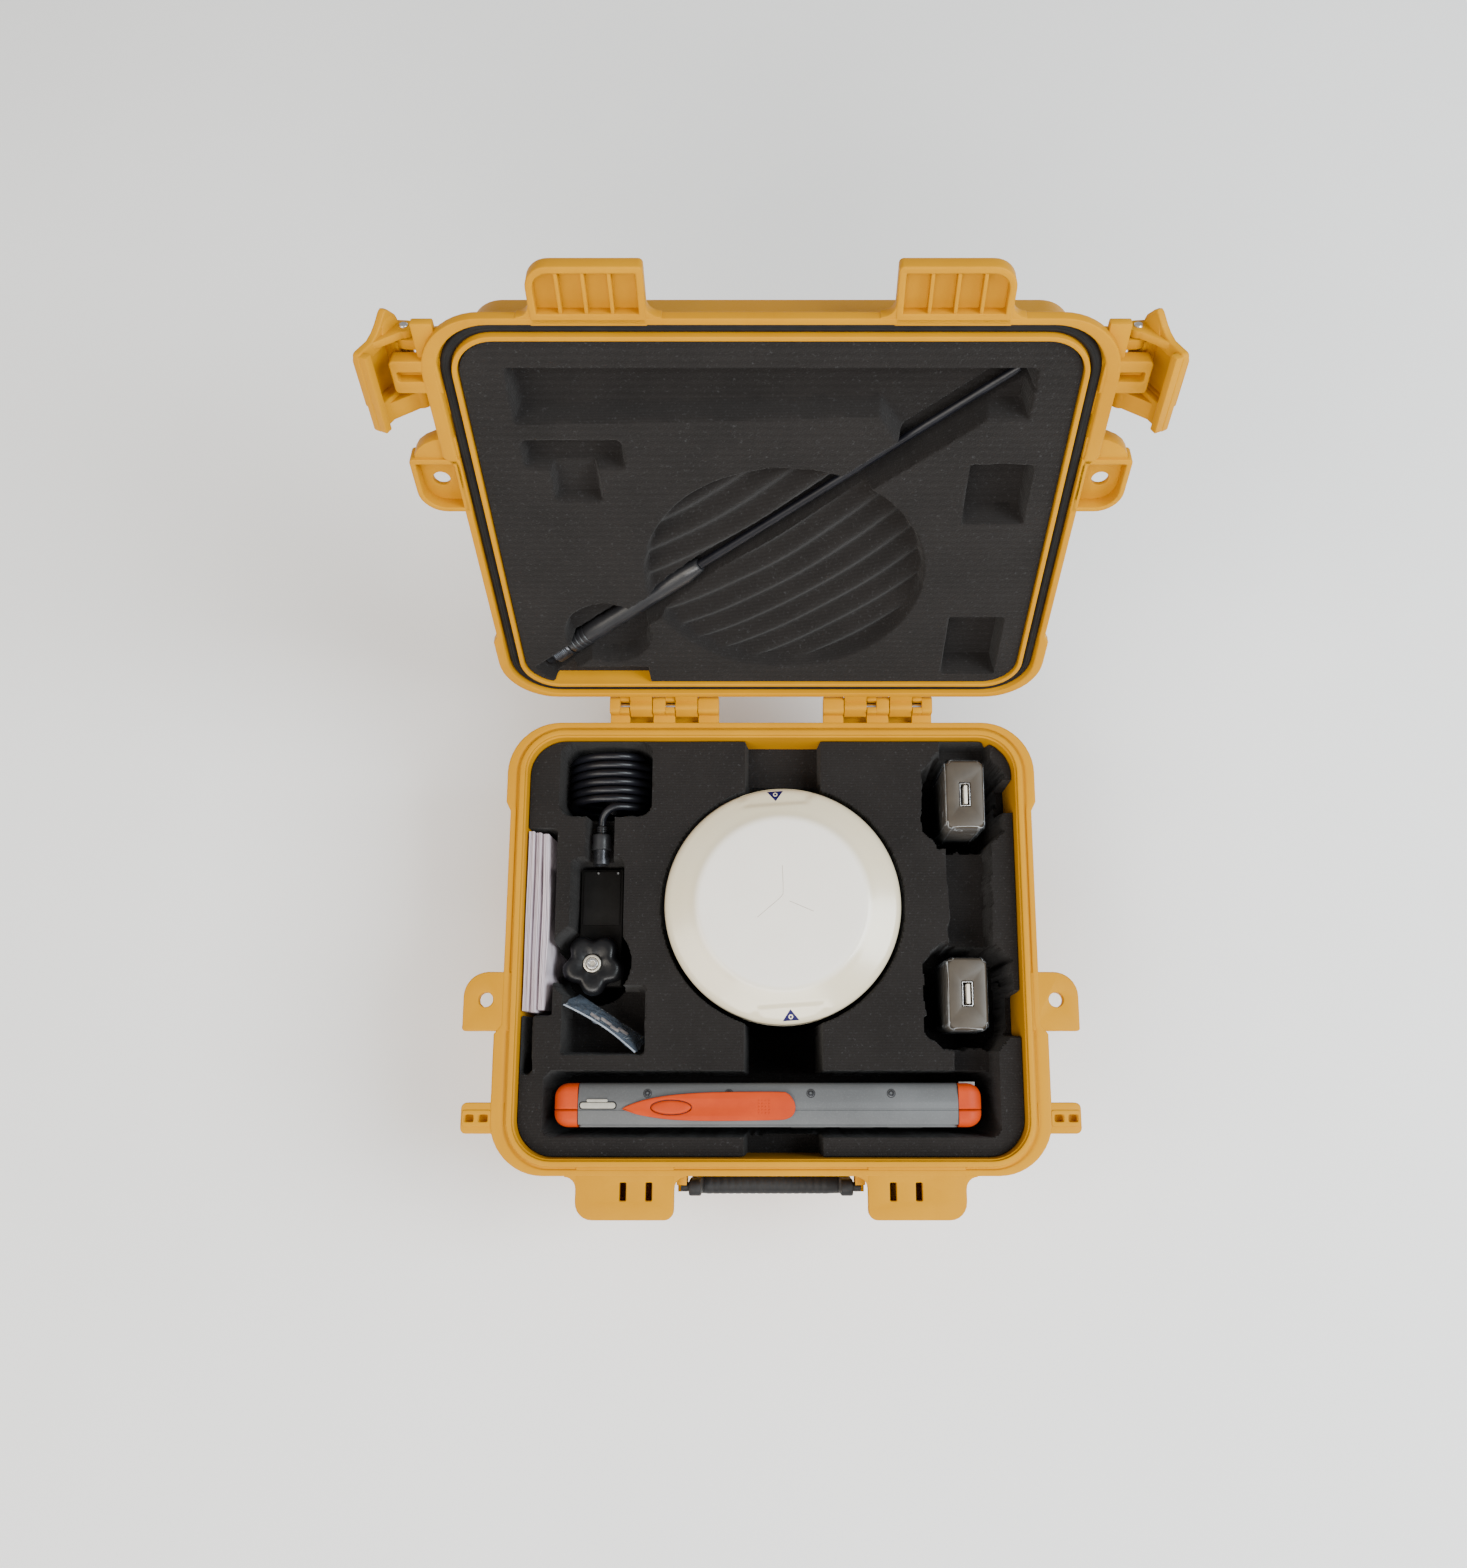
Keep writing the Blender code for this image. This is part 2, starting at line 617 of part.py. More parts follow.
def make_latch(name, lid, sign):
    """A latch lever that swings on its pin; at rest it hangs clear of the catch block."""
    pin = rod("Y", tuple(LATCH_AXIS), PIN_R, -115.0, -71.0, 12)
    lid.piece(f"latch_{name}_pin", pin if sign > 0 else mirror_x(pin), steel())
    origin = Vector((sign * LATCH_AXIS.x, 0.5 * sum(LATCH_Y), LATCH_AXIS.z))
    body = Body(f"latch_{name}", origin, lid)
    y0, y1 = LATCH_Y
    z_low = 109.2
    plate = bevel_sharp(box(158.6, 162.0, y0, y1, z_low, 137.0), 0.8)
    lever = body.piece(f"latch_{name}_lever", plate if sign > 0 else mirror_x(plate), yellow())
    cheeks = [(-115.6, -106.8), (-79.2, -70.4)]
    solids = []
    for a, b in cheeks:
        outline = [(159.5, 116.0), *arc(LATCH_AXIS.x, LATCH_AXIS.z, 4.2, 250, 90, 6), (159.5, 136.0)]
        solids.append(loft([[(u, y, w) for u, w in outline] for y in (a, b)]))
    hook = box(155.2, 160.0, y0 + 1, y1 - 1, z_low + 0.3, 113.2)
    root = [(157.5, 124.5), (161.7, 124.5), (161.7, 136.5), (157.5, 136.5)]
    tip = [(159.0, 128.0), (161.4, 128.0), (161.4, 133.0), (159.0, 133.0)]
    tab = loft([[(x, y, z) for x, z in section] for y, section in ((y0 + 1, root), (y0 - 11, tip))])
    solids += [hook, tab]
    holes = [box(150, 170, CATCH_Y[0] - 3.6, CATCH_Y[1] + 3.6, 113.2, 130.6),
             rod("Y", tuple(LATCH_AXIS), PIN_HOLE_R, -120, -60, 12)]
    if sign < 0:
        solids = [mirror_x(s) for s in solids]
        holes = [mirror_x(h) for h in holes]
    add(lever, *solids, body=body)
    cut(lever, *holes, body=body)
    body.empty.rotation_euler.y = -sign * math.radians(LATCH_REST_DEG)
    return body


def make_whip(lid):
    """The radio whip in the lid's foam: thin rod, stiff sleeve and screw connector."""
    body = Body("whip", 0.5 * (WHIP_TIP + WHIP_END), lid)
    along = WHIP_TIP - WHIP_END
    length = along.length
    turn = along.to_track_quat("Z", "Y").to_matrix().to_4x4()

    def turned(profile, steps):
        bm = lathe(profile, steps)
        bmesh.ops.transform(bm, matrix=Matrix.Translation(WHIP_END) @ turn, verts=bm.verts)
        return bm

    body.piece("whip_rod", turned([(2.3, 112.3), (2.3, length - 2), (1.6, length)], 12), rubber())
    sleeve = [(4.6, 18.3), (5.4, 20), (5.4, 44), (4.9, 46), (4.9, 104), (3.4, 112)]
    body.piece("whip_sleeve", turned(sleeve, 16), black_plastic())
    connector = [(4.0, 0), (4.0, 6), (5.6, 6.5), (5.6, 17), (5.0, 18)]
    body.piece("whip_connector", turned(connector, 16), brass())


def make_lid():
    body = Body("lid", (0, HINGE_Y, HINGE_Z))
    make_lid_shell(body)
    make_gasket(body)
    make_lid_foam(body)
    make_latch("left", body, -1)
    make_latch("right", body, 1)
    make_whip(body)
    body.empty.rotation_euler.x = -math.radians(LID_OPEN_DEG)


# ---- the receiver --------------------------------------------------------------------------------
DOOR_X, DOOR_Z, DOOR_Y = 19.5, (24.5, 51.5), 59.4
PORT_X, PORT_Z, PORT_Y = 12.0, (30.0, 44.0), -59.4
PANEL_X, PANEL_Z = 22.0, (50.0, 78.0)
BUTTON_Z = 60.0
UHF_Y = -34.0            # the radio antenna's socket in the underside


def local(x, y, z):
    """A point given from the receiver's own centre and underside."""
    return (RECEIVER_X + x, RECEIVER_Y + y, RECEIVER_Z + z)


def at_receiver(bm):
    bmesh.ops.translate(bm, vec=local(0, 0, 0), verts=bm.verts)
    return bm


def turned_part(profile, steps=48, closed=False):
    return at_receiver(lathe(profile, steps, closed=closed))


def local_box(x0, x1, y0, y1, z0, z1):
    return at_receiver(box(x0, x1, y0, y1, z0, z1))


def top_cover_profile():
    """The white radome: a flat crown, a sloping shoulder and a straight skirt, 2.4 thick."""
    outer = [(64.0, 80.0), (RECEIVER_R, 81.0), (RECEIVER_R, 101.0), (62.8, 104.0),
             (50.5, 108.4), (46.0, 110.2), (0, RECEIVER_H)]
    inner = [(0, 108.6), (45.0, 107.4), (61.9, 100.5), (61.9, 88.6), (62.3, 88.6), (62.3, 80.0)]
    return outer + inner


def make_receiver():
    body = Body("receiver", local(0, 0, 0))
    body.piece("receiver_top_cover", turned_part(top_cover_profile(), 40, True), white_plastic())
    seal = [(61.4, 86.3), (61.4, 88.3), (58.6, 88.3), (58.6, 86.3)]
    body.piece("receiver_seal_ring", turned_part(seal, 32, True), rubber())
    make_receiver_housing(body)
    bumper = [(56.0, 6.0), (59.8, 8.0), (61.0, 16.0), (59.8, 18.0), (57.2, 18.0), (52.8, 6.0)]
    body.piece("receiver_bumper", turned_part(bumper, 36, True), rubber())
    make_bottom(body)
    make_receiver_inside(body)
    make_receiver_fronts(body)


def make_receiver_housing(body):
    """The dark lower housing, with flats at the front and back for the panel and the battery door."""
    profile = [(9.4, 5.3), (52.0, 5.3), (57.0, 18.6), (60.0, 30.0), (61.6, 84.0), (61.6, 86.0),
               (58.4, 86.0), (58.4, 84.0), (57.2, 32.0), (53.0, 22.0), (49.5, 8.3), (9.4, 8.3)]
    housing = body.piece("receiver_housing", turned_part(profile, 40, True), dark_grey())
    flats = [local_box(-24, 24, 57.6, 70, 20, 79.5), local_box(-24, 24, -70, -57.6, 20, 79.5)]
    backing = [local_box(-25, 25, 50.0, 57.4, 21, 80), local_box(-25, 25, -57.4, -50.0, 21, 80)]
    add(housing, *backing, body=body)
    windows = [
        local_box(-DOOR_X + 1, DOOR_X - 1, 45, 70, DOOR_Z[0] + 1, DOOR_Z[1] - 1),
        local_box(-PORT_X + 1.5, PORT_X - 1.5, -70, -45, PORT_Z[0] + 1.5, PORT_Z[1] - 1.5),
        at_receiver(rod("Y", (0, 0, BUTTON_Z), 5.4, -70, -45, 16)),
        at_receiver(rod("Z", (0, UHF_Y, 0), 7.2, 0, 12, 16)),
    ]
    cut(housing, *flats, *windows, body=body)


def make_bottom(body):
    """The underside: an aluminium plate, the pole's threaded insert and the radio antenna's socket."""
    disc = turned_part([(9.4, 0), (50.0, 0), (51.4, 1.4), (51.4, 5.0), (9.4, 5.0)], 32, True)
    plate = body.piece("receiver_bottom_plate", disc, aluminium())
    cut(plate, at_receiver(rod("Z", (0, UHF_Y, 0), 7.2, -2, 12, 16)), body=body)
    insert = [(9.1, -0.2), (9.1, 22.0), (7.0, 22.0), (7.0, 0.8), (8.0, -0.2)]
    body.piece("pole_thread_insert", turned_part(insert, 24, True), brass())
    socket = [(4.6, 1.0), (6.8, 1.0), (6.8, 14.0), (2.2, 14.0), (2.2, 11.0), (4.6, 11.0)]
    body.piece("radio_antenna_socket", at_receiver(lathe(socket, 16, (0, UHF_Y, 0), True)), brass())


def make_receiver_inside(body):
    bay = local_box(-19, 19, -22, 49.6, 24.4, 51.6)
    sleeve = body.piece("battery_bay", bay, black_plastic())
    cut(sleeve, local_box(-17.4, 17.4, -20.4, 60, 26.0, 50.0), body=body)
    pack = bevel_sharp(local_box(-16.8, 16.8, -19.6, 54.5, 26.6, 48.6), 1.5)
    body.piece("battery_pack", pack, black_plastic())
    board = [(50.0, 70.0), (50.0, 71.8), (6.0, 71.8), (6.0, 70.0)]
    body.piece("main_board", turned_part(board, 32, True), board_green())
    can = bevel_sharp(local_box(-22, 22, -16, 16, 72.1, 77.0), 0.6)
    body.piece("receiver_module", can, steel())
    body.piece("antenna_ground_plate", turned_part([(57.0, 89.4), (57.0, 91.0)], 32), aluminium())
    body.piece("antenna_patch_lower", local_box(-37, 37, -37, 37, 91.3, 97.3), ceramic())
    body.piece("antenna_patch_upper", local_box(-25, 25, -25, 25, 97.6, 103.6), ceramic())


def make_receiver_fronts(body):
    """The front panel with its power button, the port flap under it, and the battery door behind."""
    z0, z1 = PANEL_Z
    panel = bevel_sharp(local_box(-PANEL_X, PANEL_X, -60.0, -57.9, z0, z1), 0.6)
    front = body.piece("receiver_front_panel", panel, black_plastic())
    cut(front, at_receiver(rod("Y", (0, 0, BUTTON_Z), 5.4, -70, -45, 16)), body=body)
    socket = bevel_sharp(local_box(-9, 9, -56.5, -46.0, PORT_Z[0] + 2.4, PORT_Z[1] - 2.4), 0.5)
    body.piece("data_socket", socket, steel())

    button = Body("power_button", local(0, -60.5, BUTTON_Z), body)
    cap = at_receiver(lathe([(5.1, 54.5), (5.1, 60.2), (4.4, 61.0)], 16, (0, 0, BUTTON_Z), axis="Y"))
    bmesh.ops.scale(cap, vec=(1, -1, 1), verts=cap.verts,
                    space=Matrix.Translation(-Vector(local(0, 0, 0))))
    bmesh.ops.recalc_face_normals(cap, faces=cap.faces)
    button.piece("power_button", cap, orange())

    flap = Body("port_cover", local(0, PORT_Y, PORT_Z[0]), body)
    cover = bevel_sharp(local_box(-PORT_X, PORT_X, -60.0, -57.9, *PORT_Z), 0.7)
    port = flap.piece("port_cover", cover, rubber())
    plug = local_box(-PORT_X + 2.2, PORT_X - 2.2, -58.5, -56.9, PORT_Z[0] + 2.2, PORT_Z[1] - 2.2)
    add(port, plug, body=flap)

    door = Body("battery_door", local(0, DOOR_Y, DOOR_Z[0]), body)
    leaf = bevel_sharp(local_box(-DOOR_X, DOOR_X, 57.9, 60.4, *DOOR_Z), 0.8)
    door.piece("battery_door", leaf, dark_grey())


# ---- the controller ------------------------------------------------------------------------------
CASE_X = (-101.5, 98.5)
CAP_OUT = (-114.5, 111.3)
GRIP_TOP = CONTROLLER_Z[1] + 1.2
TRIGGER_X = -52.0        # middle of the oval button


def make_controller():
    """The hand-held controller, which stands on its long edge with its keys towards the front."""
    y0, y1 = CONTROLLER_Y
    z0, z1 = CONTROLLER_Z
    mid = 0.5 * (y0 + y1)
    body = Body("controller", (0.5 * sum(CAP_OUT), mid, z0))
    for name, side in (("controller_front_shell", -1), ("controller_back_shell", 1)):
        face, seam = mid + side * 11.4, mid + side * 0.15
        outline = [(seam, z0), (face - side * 5.0, z0), (face, z0 + 5.0), (face, z1 - 5.0),
                   (face - side * 5.0, z1), (seam, z1)]
        shell = body.piece(name, loft([[(x, y, z) for y, z in outline] for x in CASE_X]), grey_plastic())
        hollow = [(mid - side, z0 + 2), (face - side * 5.8, z0 + 2), (face - side * 2, z0 + 5.8),
                  (face - side * 2, z1 - 5.8), (face - side * 5.8, z1 - 2), (mid - side, z1 - 2)]
        holes = [loft([[(x, y, z) for y, z in hollow] for x in (CASE_X[0] + 2, CASE_X[1] - 2)])]
        if side < 0:
            holes.append(box(-84, -4, y0 - 5, y0 + 1.4, z0 + 12, z1 - 12))
            holes.append(box(4, 88, y0 - 5, y0 + 1.4, z0 + 10, z1 - 10))
        cut(shell, *holes, body=body)
    for name, inner, outer in (("controller_cap_left", CASE_X[0] - GAP, CAP_OUT[0]),
                               ("controller_cap_right", CASE_X[1] + GAP, CAP_OUT[1])):
        way = 1 if outer > inner else -1
        rows = []
        for share, shrink in ((0, 0), (0.45, 0), (0.8, 2.2), (1.0, 6.0)):
            x = inner + way * share * abs(outer - inner)
            outline = rounded_box(y0 + shrink, y1 - shrink, z0 + shrink, z1 - shrink, 6.0, 3)
            rows.append([(x, y, z) for y, z in outline])
        body.piece(name, loft(rows), orange())
    screen = box(-83.6, -4.4, y0 + 0.4, y0 + 1.1, z0 + 12.4, z1 - 12.4)
    body.piece("controller_screen", screen, glass())
    mat = box(4.4, 87.6, y0 + 0.2, y0 + 1.1, z0 + 10.4, z1 - 10.4)
    keys = body.piece("controller_keypad", mat, rubber())
    caps = []
    for x in (20.0, 46.0, 72.0):
        for z in (54.0, 71.0, 88.0, 105.0):
            caps.append(box(x - 9.0, x + 9.0, y0 - 0.7, y0 + 0.6, z - 5, z + 5))
    add(keys, *caps, body=body)
    make_controller_top(body, mid, z1)


def leaf_outline(mid):
    """The orange inlay along the controller's top edge: pointed on the left, blunt on the right."""
    return [(-77.0, mid), (-62.0, mid - 5.6), (-40.0, mid - 7.2), (8.0, mid - 7.2), (13.5, mid - 3.5),
            (13.5, mid + 3.5), (8.0, mid + 7.2), (-40.0, mid + 6.4), (-62.0, mid + 3.6)][::-1]


def ellipse(mid, rx, ry):
    turn = [2 * math.pi * i / 16 for i in range(16)]
    return [(TRIGGER_X + rx * math.cos(a), mid + ry * math.sin(a)) for a in turn]


def make_controller_top(body, mid, z1):
    """The orange inlay with the oval button in it."""
    grip = bevel_sharp(prism(leaf_outline(mid), z1 + GAP, GRIP_TOP + GAP), 0.5)
    inlay = body.piece("controller_grip", grip, orange())
    cut(inlay, prism(ellipse(mid, 11.2, 4.2), z1 - 3, GRIP_TOP + 4), body=body)
    button = Body("controller_button", (TRIGGER_X, mid, GRIP_TOP), body)
    rows = []
    for scale, z in ((1.0, z1 + 0.9), (1.0, GRIP_TOP + 0.2), (0.82, GRIP_TOP + 0.9)):
        rows.append([(x, y, z) for x, y in ellipse(mid, 10.8 * scale, 3.8 * scale)])
    button.piece("controller_button", loft(rows), orange())


# ---- chargers, clamp, cable and papers -----------------------------------------------------------
CHARGERS = (("charger_1", 107.3, 81.0), ("charger_2", 105.3, -28.2))
CHARGER_HALF = (10.6, 19.0)
CHARGER_Z = (62.0, 123.5)


def make_chargers():
    hx, hy = CHARGER_HALF
    for name, cx, cy in CHARGERS:
        body = Body(name, (cx, cy, CHARGER_Z[0]))
        outline = rounded_box(cx - hx, cx + hx, cy - hy, cy + hy, 4.0, 3)
        case = bevel_sharp(prism(outline, *CHARGER_Z), 1.2)
        block = body.piece(f"{name}_body", case, black_plastic())
        top = CHARGER_Z[1]
        cut(block, box(cx - 3.2, cx + 3.2, cy - 6.9, cy + 6.9, top - 13, top + 3), body=body)
        shell = box(cx - 2.85, cx + 2.85, cy - 6.55, cy + 6.55, top - 12.6, top - 0.4)
        port = body.piece(f"{name}_usb_port", shell, steel())
        for x0, x1 in ((-2.4, -0.3), (1.5, 2.4)):
            cut(port, box(cx + x0, cx + x1, cy - 6.1, cy + 6.1, top - 11.5, top + 2), body=body)


CLAMP_AXIS = (KNOB_X, KNOB_Y)
KNOB_Z = (91.5, 104.5)
LOBES = 5


def lobed_outline(scale):
    """A five-lobed hand knob."""
    points = []
    for i in range(30):
        a = 2 * math.pi * i / 30
        r = (15.6 + 2.0 * math.cos(LOBES * a + math.pi / 2)) * scale
        points.append((KNOB_X + r * math.cos(a), KNOB_Y + r * math.sin(a)))
    return points


def make_clamp():
    """The pole clamp of the controller: bracket, screw, moving jaw and lobed knob."""
    body = Body("clamp", (*CLAMP_AXIS, 56.0))
    arm = rounded_box(-108.0, -84.0, -22.0, 44.0, 4.0, 3)
    bracket = body.piece("clamp_bracket", bevel_sharp(prism(arm, 76.0, 90.6), 1.0), black_plastic())
    pole = rod("X", (0, 22.0, 71.5), 11.0, -130, -60, 20)
    cut(bracket, pole, rod("Z", (*CLAMP_AXIS, 0), 4.4, 50, 110, 16), body=body)

    jaw = Body("clamp_jaw", (*CLAMP_AXIS, 62.0), body)
    lower = rounded_box(-107.0, -85.0, -21.0, 43.0, 4.0, 3)
    moving = jaw.piece("clamp_jaw", bevel_sharp(prism(lower, 57.0, 66.0), 1.0), black_plastic())
    cut(moving, rod("X", (0, 22.0, 73.5), 11.0, -130, -60, 20),
        rod("Z", (*CLAMP_AXIS, 0), 4.4, 50, 110, 16), body=jaw)

    knob = Body("clamp_knob", (*CLAMP_AXIS, KNOB_Z[0]), body)
    rows = []
    for scale, z in ((0.84, KNOB_Z[0]), (1.0, KNOB_Z[0] + 4),
                     (1.0, KNOB_Z[1] - 4), (0.84, KNOB_Z[1])):
        rows.append([(x, y, z) for x, y in lobed_outline(scale)])
    star = knob.piece("clamp_knob", loft(rows), black_plastic())
    cut(star, rod("Z", (*CLAMP_AXIS, 0), 5.3, 80, 120, 12), body=knob)
    screw = [(0, 56.8), (4.0, 56.8), (4.0, 91.0), (5.0, 91.8), (5.0, 105.0), (4.4, 105.6),
             (2.4, 105.6), (2.4, 101.0), (0, 101.0)]
    knob.piece("clamp_screw", lathe(screw, 12, (*CLAMP_AXIS, 0)), steel())


COIL_Y = (75.0, 110.8)
LEAD_ROUTE = [(-92.4, 72.8, 108.6), (-94.0, 71.2, 107.6), (-94.9, 69.2, 106.3), (-95.0, 66.6, 105.8)]
TAIL_ROUTE = [(-92.2, 98.4, 73.6), (-91.8, 101.6, 73.7), (-89.8, 104.8, 74.0), (-85.8, 107.2, 75.0),
              (-82.0, 107.9, 77.4)]
PLUG_A = Vector((-95.0, 66.0, 105.7))
PLUG_B = Vector((-92.2, 98.0, 73.6))


def cable_tube(name, route):
    """A stretch of the cable that lies outside its coil."""
    curve = bpy.data.curves.new(name, "CURVE")
    curve.dimensions = "3D"
    curve.bevel_depth = 0.5 * CABLE_D * MM
    curve.bevel_resolution = 2
    curve.use_fill_caps = True
    points = smooth_route(route, 3)
    line = curve.splines.new("POLY")
    line.points.add(len(points) - 1)
    for place, point in zip(line.points, points):
        place.co = (*(point * MM), 1.0)
    curve.materials.append(rubber())
    obj = bpy.data.objects.new(name, curve)
    bpy.context.scene.collection.objects.link(obj)


def smooth_route(route, per_span):
    """Points on a smooth curve through the route's own points."""
    knots = [Vector(p) for p in route]
    ends = [2 * knots[0] - knots[1]] + knots + [2 * knots[-1] - knots[-2]]
    points = []
    for a, b, c, d in zip(ends, ends[1:], ends[2:], ends[3:]):
        for i in range(per_span):
            t = i / per_span
            points.append(0.5 * (2 * b + (c - a) * t + (2 * a - 5 * b + 4 * c - d) * t * t
                                 + (3 * b - a - 3 * c + d) * t * t * t))
    return points + [knots[-1]]


def cable_plug(name, rear, length):
    """A round plug whose grip starts at its cable and whose metal shell points towards -Y."""
    profile = [(3.2, 0), (5.6, 4.0), (5.6, 0.62 * length), (4.6, 0.64 * length), (4.6, length)]
    plug = lathe(profile, 12, axis="Y")
    bmesh.ops.scale(plug, vec=(1, -1, 1), verts=plug.verts)
    bmesh.ops.translate(plug, vec=rear, verts=plug.verts)
    bmesh.ops.recalc_face_normals(plug, faces=plug.faces)
    make_object(name, plug, black_plastic())


def make_cable():
    """The data cable: a standing coil of round turns, and a plug on each end."""
    outer, inner = COIL_MEAN_R + CABLE_D / 2, COIL_MEAN_R - CABLE_D / 2
    near, far = COIL_Y
    section = [(outer, near), (outer, far), (inner, far), (inner, near)]
    make_object("cable_coil", lathe(section, 24, (COIL_X, 0, COIL_Z), True, "Y"), rubber())
    cable_tube("cable_lead", LEAD_ROUTE)
    cable_tube("cable_tail", TAIL_ROUTE)
    cable_plug("cable_plug_a", PLUG_A, 22.0)
    cable_plug("cable_plug_b", PLUG_B, 20.0)


def make_papers():
    """Manuals that stand in the slot beside the receiver."""
    for i, (x0, x1, y0, y1, top) in enumerate(((-134.0, -130.2, -37.0, 61.2, 117.6),
                                               (-129.8, -126.6, -37.6, 60.6, 117.0),
                                               (-126.2, -122.0, -36.4, 60.0, 116.4))):
        section = [(x1 + 2.0, 52.0), (x0 + 2.0, 52.0), (x0, top), (x1, top)]
        leaf = loft([[(x, y, z) for x, z in section] for y in (y0, y1)])
        make_object(f"manual_{i + 1}", leaf, paper())


def make_bag():
    """A small sealed bag of spares, which leans in its own pocket."""
    outline = rounded_box(-24, 24, -2.6, 2.6, 2.0, 2)
    bag = bevel_sharp(prism(outline, 0, 30.0), 1.2)
    place = Matrix.Translation((-90.5, -42.5, 84.6)) @ Matrix.Rotation(math.radians(-33), 4, "Z")
    bmesh.ops.transform(bag, matrix=place, verts=bag.verts)
    make_object("spares_bag", bag, film())


def clear_scene():
    for obj in list(bpy.data.objects):
        bpy.data.objects.remove(obj)


def main():
    clear_scene()
    make_base_shell()
    make_hinge_pins()
    make_base_foam()
    make_floor_pad()
    make_handle()
    make_lid()
    make_receiver()
    make_controller()
    make_chargers()
    make_clamp()
    make_cable()
    make_papers()
    make_bag()
    bpy.context.view_layer.update()


main()
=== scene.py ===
"""Looks of the GNSS receiver field kit: cut foam, moulded case, receiver, controller and accessories.

Every piece is built in millimetres in the CAD's own frame.  The lid and what it carries are built
shut and then turned open about the hinge, as the CAD does.
"""

import json
import math

import bmesh
import bpy
import numpy as np
from mathutils import Matrix, Vector


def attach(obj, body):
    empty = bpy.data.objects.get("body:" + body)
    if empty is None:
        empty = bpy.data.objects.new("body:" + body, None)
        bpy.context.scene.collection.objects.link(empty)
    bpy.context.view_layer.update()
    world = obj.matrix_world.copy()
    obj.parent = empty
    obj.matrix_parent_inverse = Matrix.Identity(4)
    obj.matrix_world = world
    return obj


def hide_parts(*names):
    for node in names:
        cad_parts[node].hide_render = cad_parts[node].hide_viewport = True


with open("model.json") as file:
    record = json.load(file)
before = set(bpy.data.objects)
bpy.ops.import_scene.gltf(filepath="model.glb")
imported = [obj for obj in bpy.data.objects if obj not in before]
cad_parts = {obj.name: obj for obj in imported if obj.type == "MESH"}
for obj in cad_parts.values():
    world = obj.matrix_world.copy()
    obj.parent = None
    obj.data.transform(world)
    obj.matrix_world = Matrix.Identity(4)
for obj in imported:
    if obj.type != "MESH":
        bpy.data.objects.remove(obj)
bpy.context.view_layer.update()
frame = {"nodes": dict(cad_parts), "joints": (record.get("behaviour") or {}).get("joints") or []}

MM = 0.001
JOINTS = {joint["name"]: joint for joint in frame["joints"]}

# ---- sizes of the case, as in the CAD, in millimetres ----
RIM_Z = 122.0
LID_RIM_Z = 122.3
OPEN_HALF_X, OPEN_HALF_Y, OPEN_CORNER = 135.2, 113.6, 20.0
FRONT_BULGE, REAR_BULGE = 4.0, 2.5
BASE_FOAM_TOP, LID_FOAM_FACE = 116.0, 123.8
HINGE_Y, HINGE_Z = 131.4, 122.8
RECEIVER = Vector((6.5, 20.5, 16.6))
# radius in mm over which the cover's painted shoulder shade is spread
PAINTED_SHADE_REACH = 70
KNOB = Vector((-98.7, -10.6, 91.5))


def about(point, angle, axis):
    return Matrix.Translation(point) @ Matrix.Rotation(angle, 4, axis) @ Matrix.Translation(-Vector(point))


LID = about((0, HINGE_Y, HINGE_Z), math.radians(JOINTS["lid_hinge"]["range_deg"][0]), "X")
LATCH_ANGLE = math.radians(-JOINTS["latch_right_swing"]["range_deg"][0])
MIRROR = Matrix.Scale(-1, 4, (1, 0, 0))
FACING_X = Matrix(((0, 0, 1, 0), (1, 0, 0, 0), (0, 1, 0, 0), (0, 0, 0, 1)))
FACING_FRONT = Matrix(((1, 0, 0, 0), (0, 0, -1, 0), (0, 1, 0, 0), (0, 0, 0, 1)))


def linked(name, data):
    """A new object of that data, in the scene."""
    obj = bpy.data.objects.new(name, data)
    bpy.context.scene.collection.objects.link(obj)
    return obj


# ---- camera, floor and light ----
CAMERA_PLACE, CAMERA_TILT = (0.0, -0.0741, 0.8482), math.radians(12.51)
LENS_MM, LENS_SHIFT = 30.77, -0.0239
SKY_COLOUR, SKY_STRENGTH = (1.0, 0.985, 0.96, 1), 0.46
FLOOR_REACH, FLOOR_Z = 6.0, -0.0005
# Each lamp: where it stands, what it faces, its size, its watts and its colour.
LAMPS = {
    "window_right": ((1.3, -0.1, 1.5), (0.1, 0.0, 0.1), (0.9, 1.1), 50, (0.88, 0.96, 1.0)),
    "lamp_left": ((-1.1, -0.5, 1.6), (0, 0.1, 0.1), (1.0, 1.0), 20, (1.0, 0.92, 0.80)),
    "lamp_front": ((-0.1, -1.35, 1.6), (0, 0, 0.1), (1.6, 0.8), 38, (1.0, 0.98, 0.95)),
}


def make_camera():
    data = bpy.data.cameras.new("camera")
    data.sensor_width = 36.0
    data.lens, data.shift_x = LENS_MM, LENS_SHIFT
    camera = linked("camera", data)
    camera.location = CAMERA_PLACE
    camera.rotation_euler = (CAMERA_TILT, 0, 0)
    bpy.context.scene.camera = camera


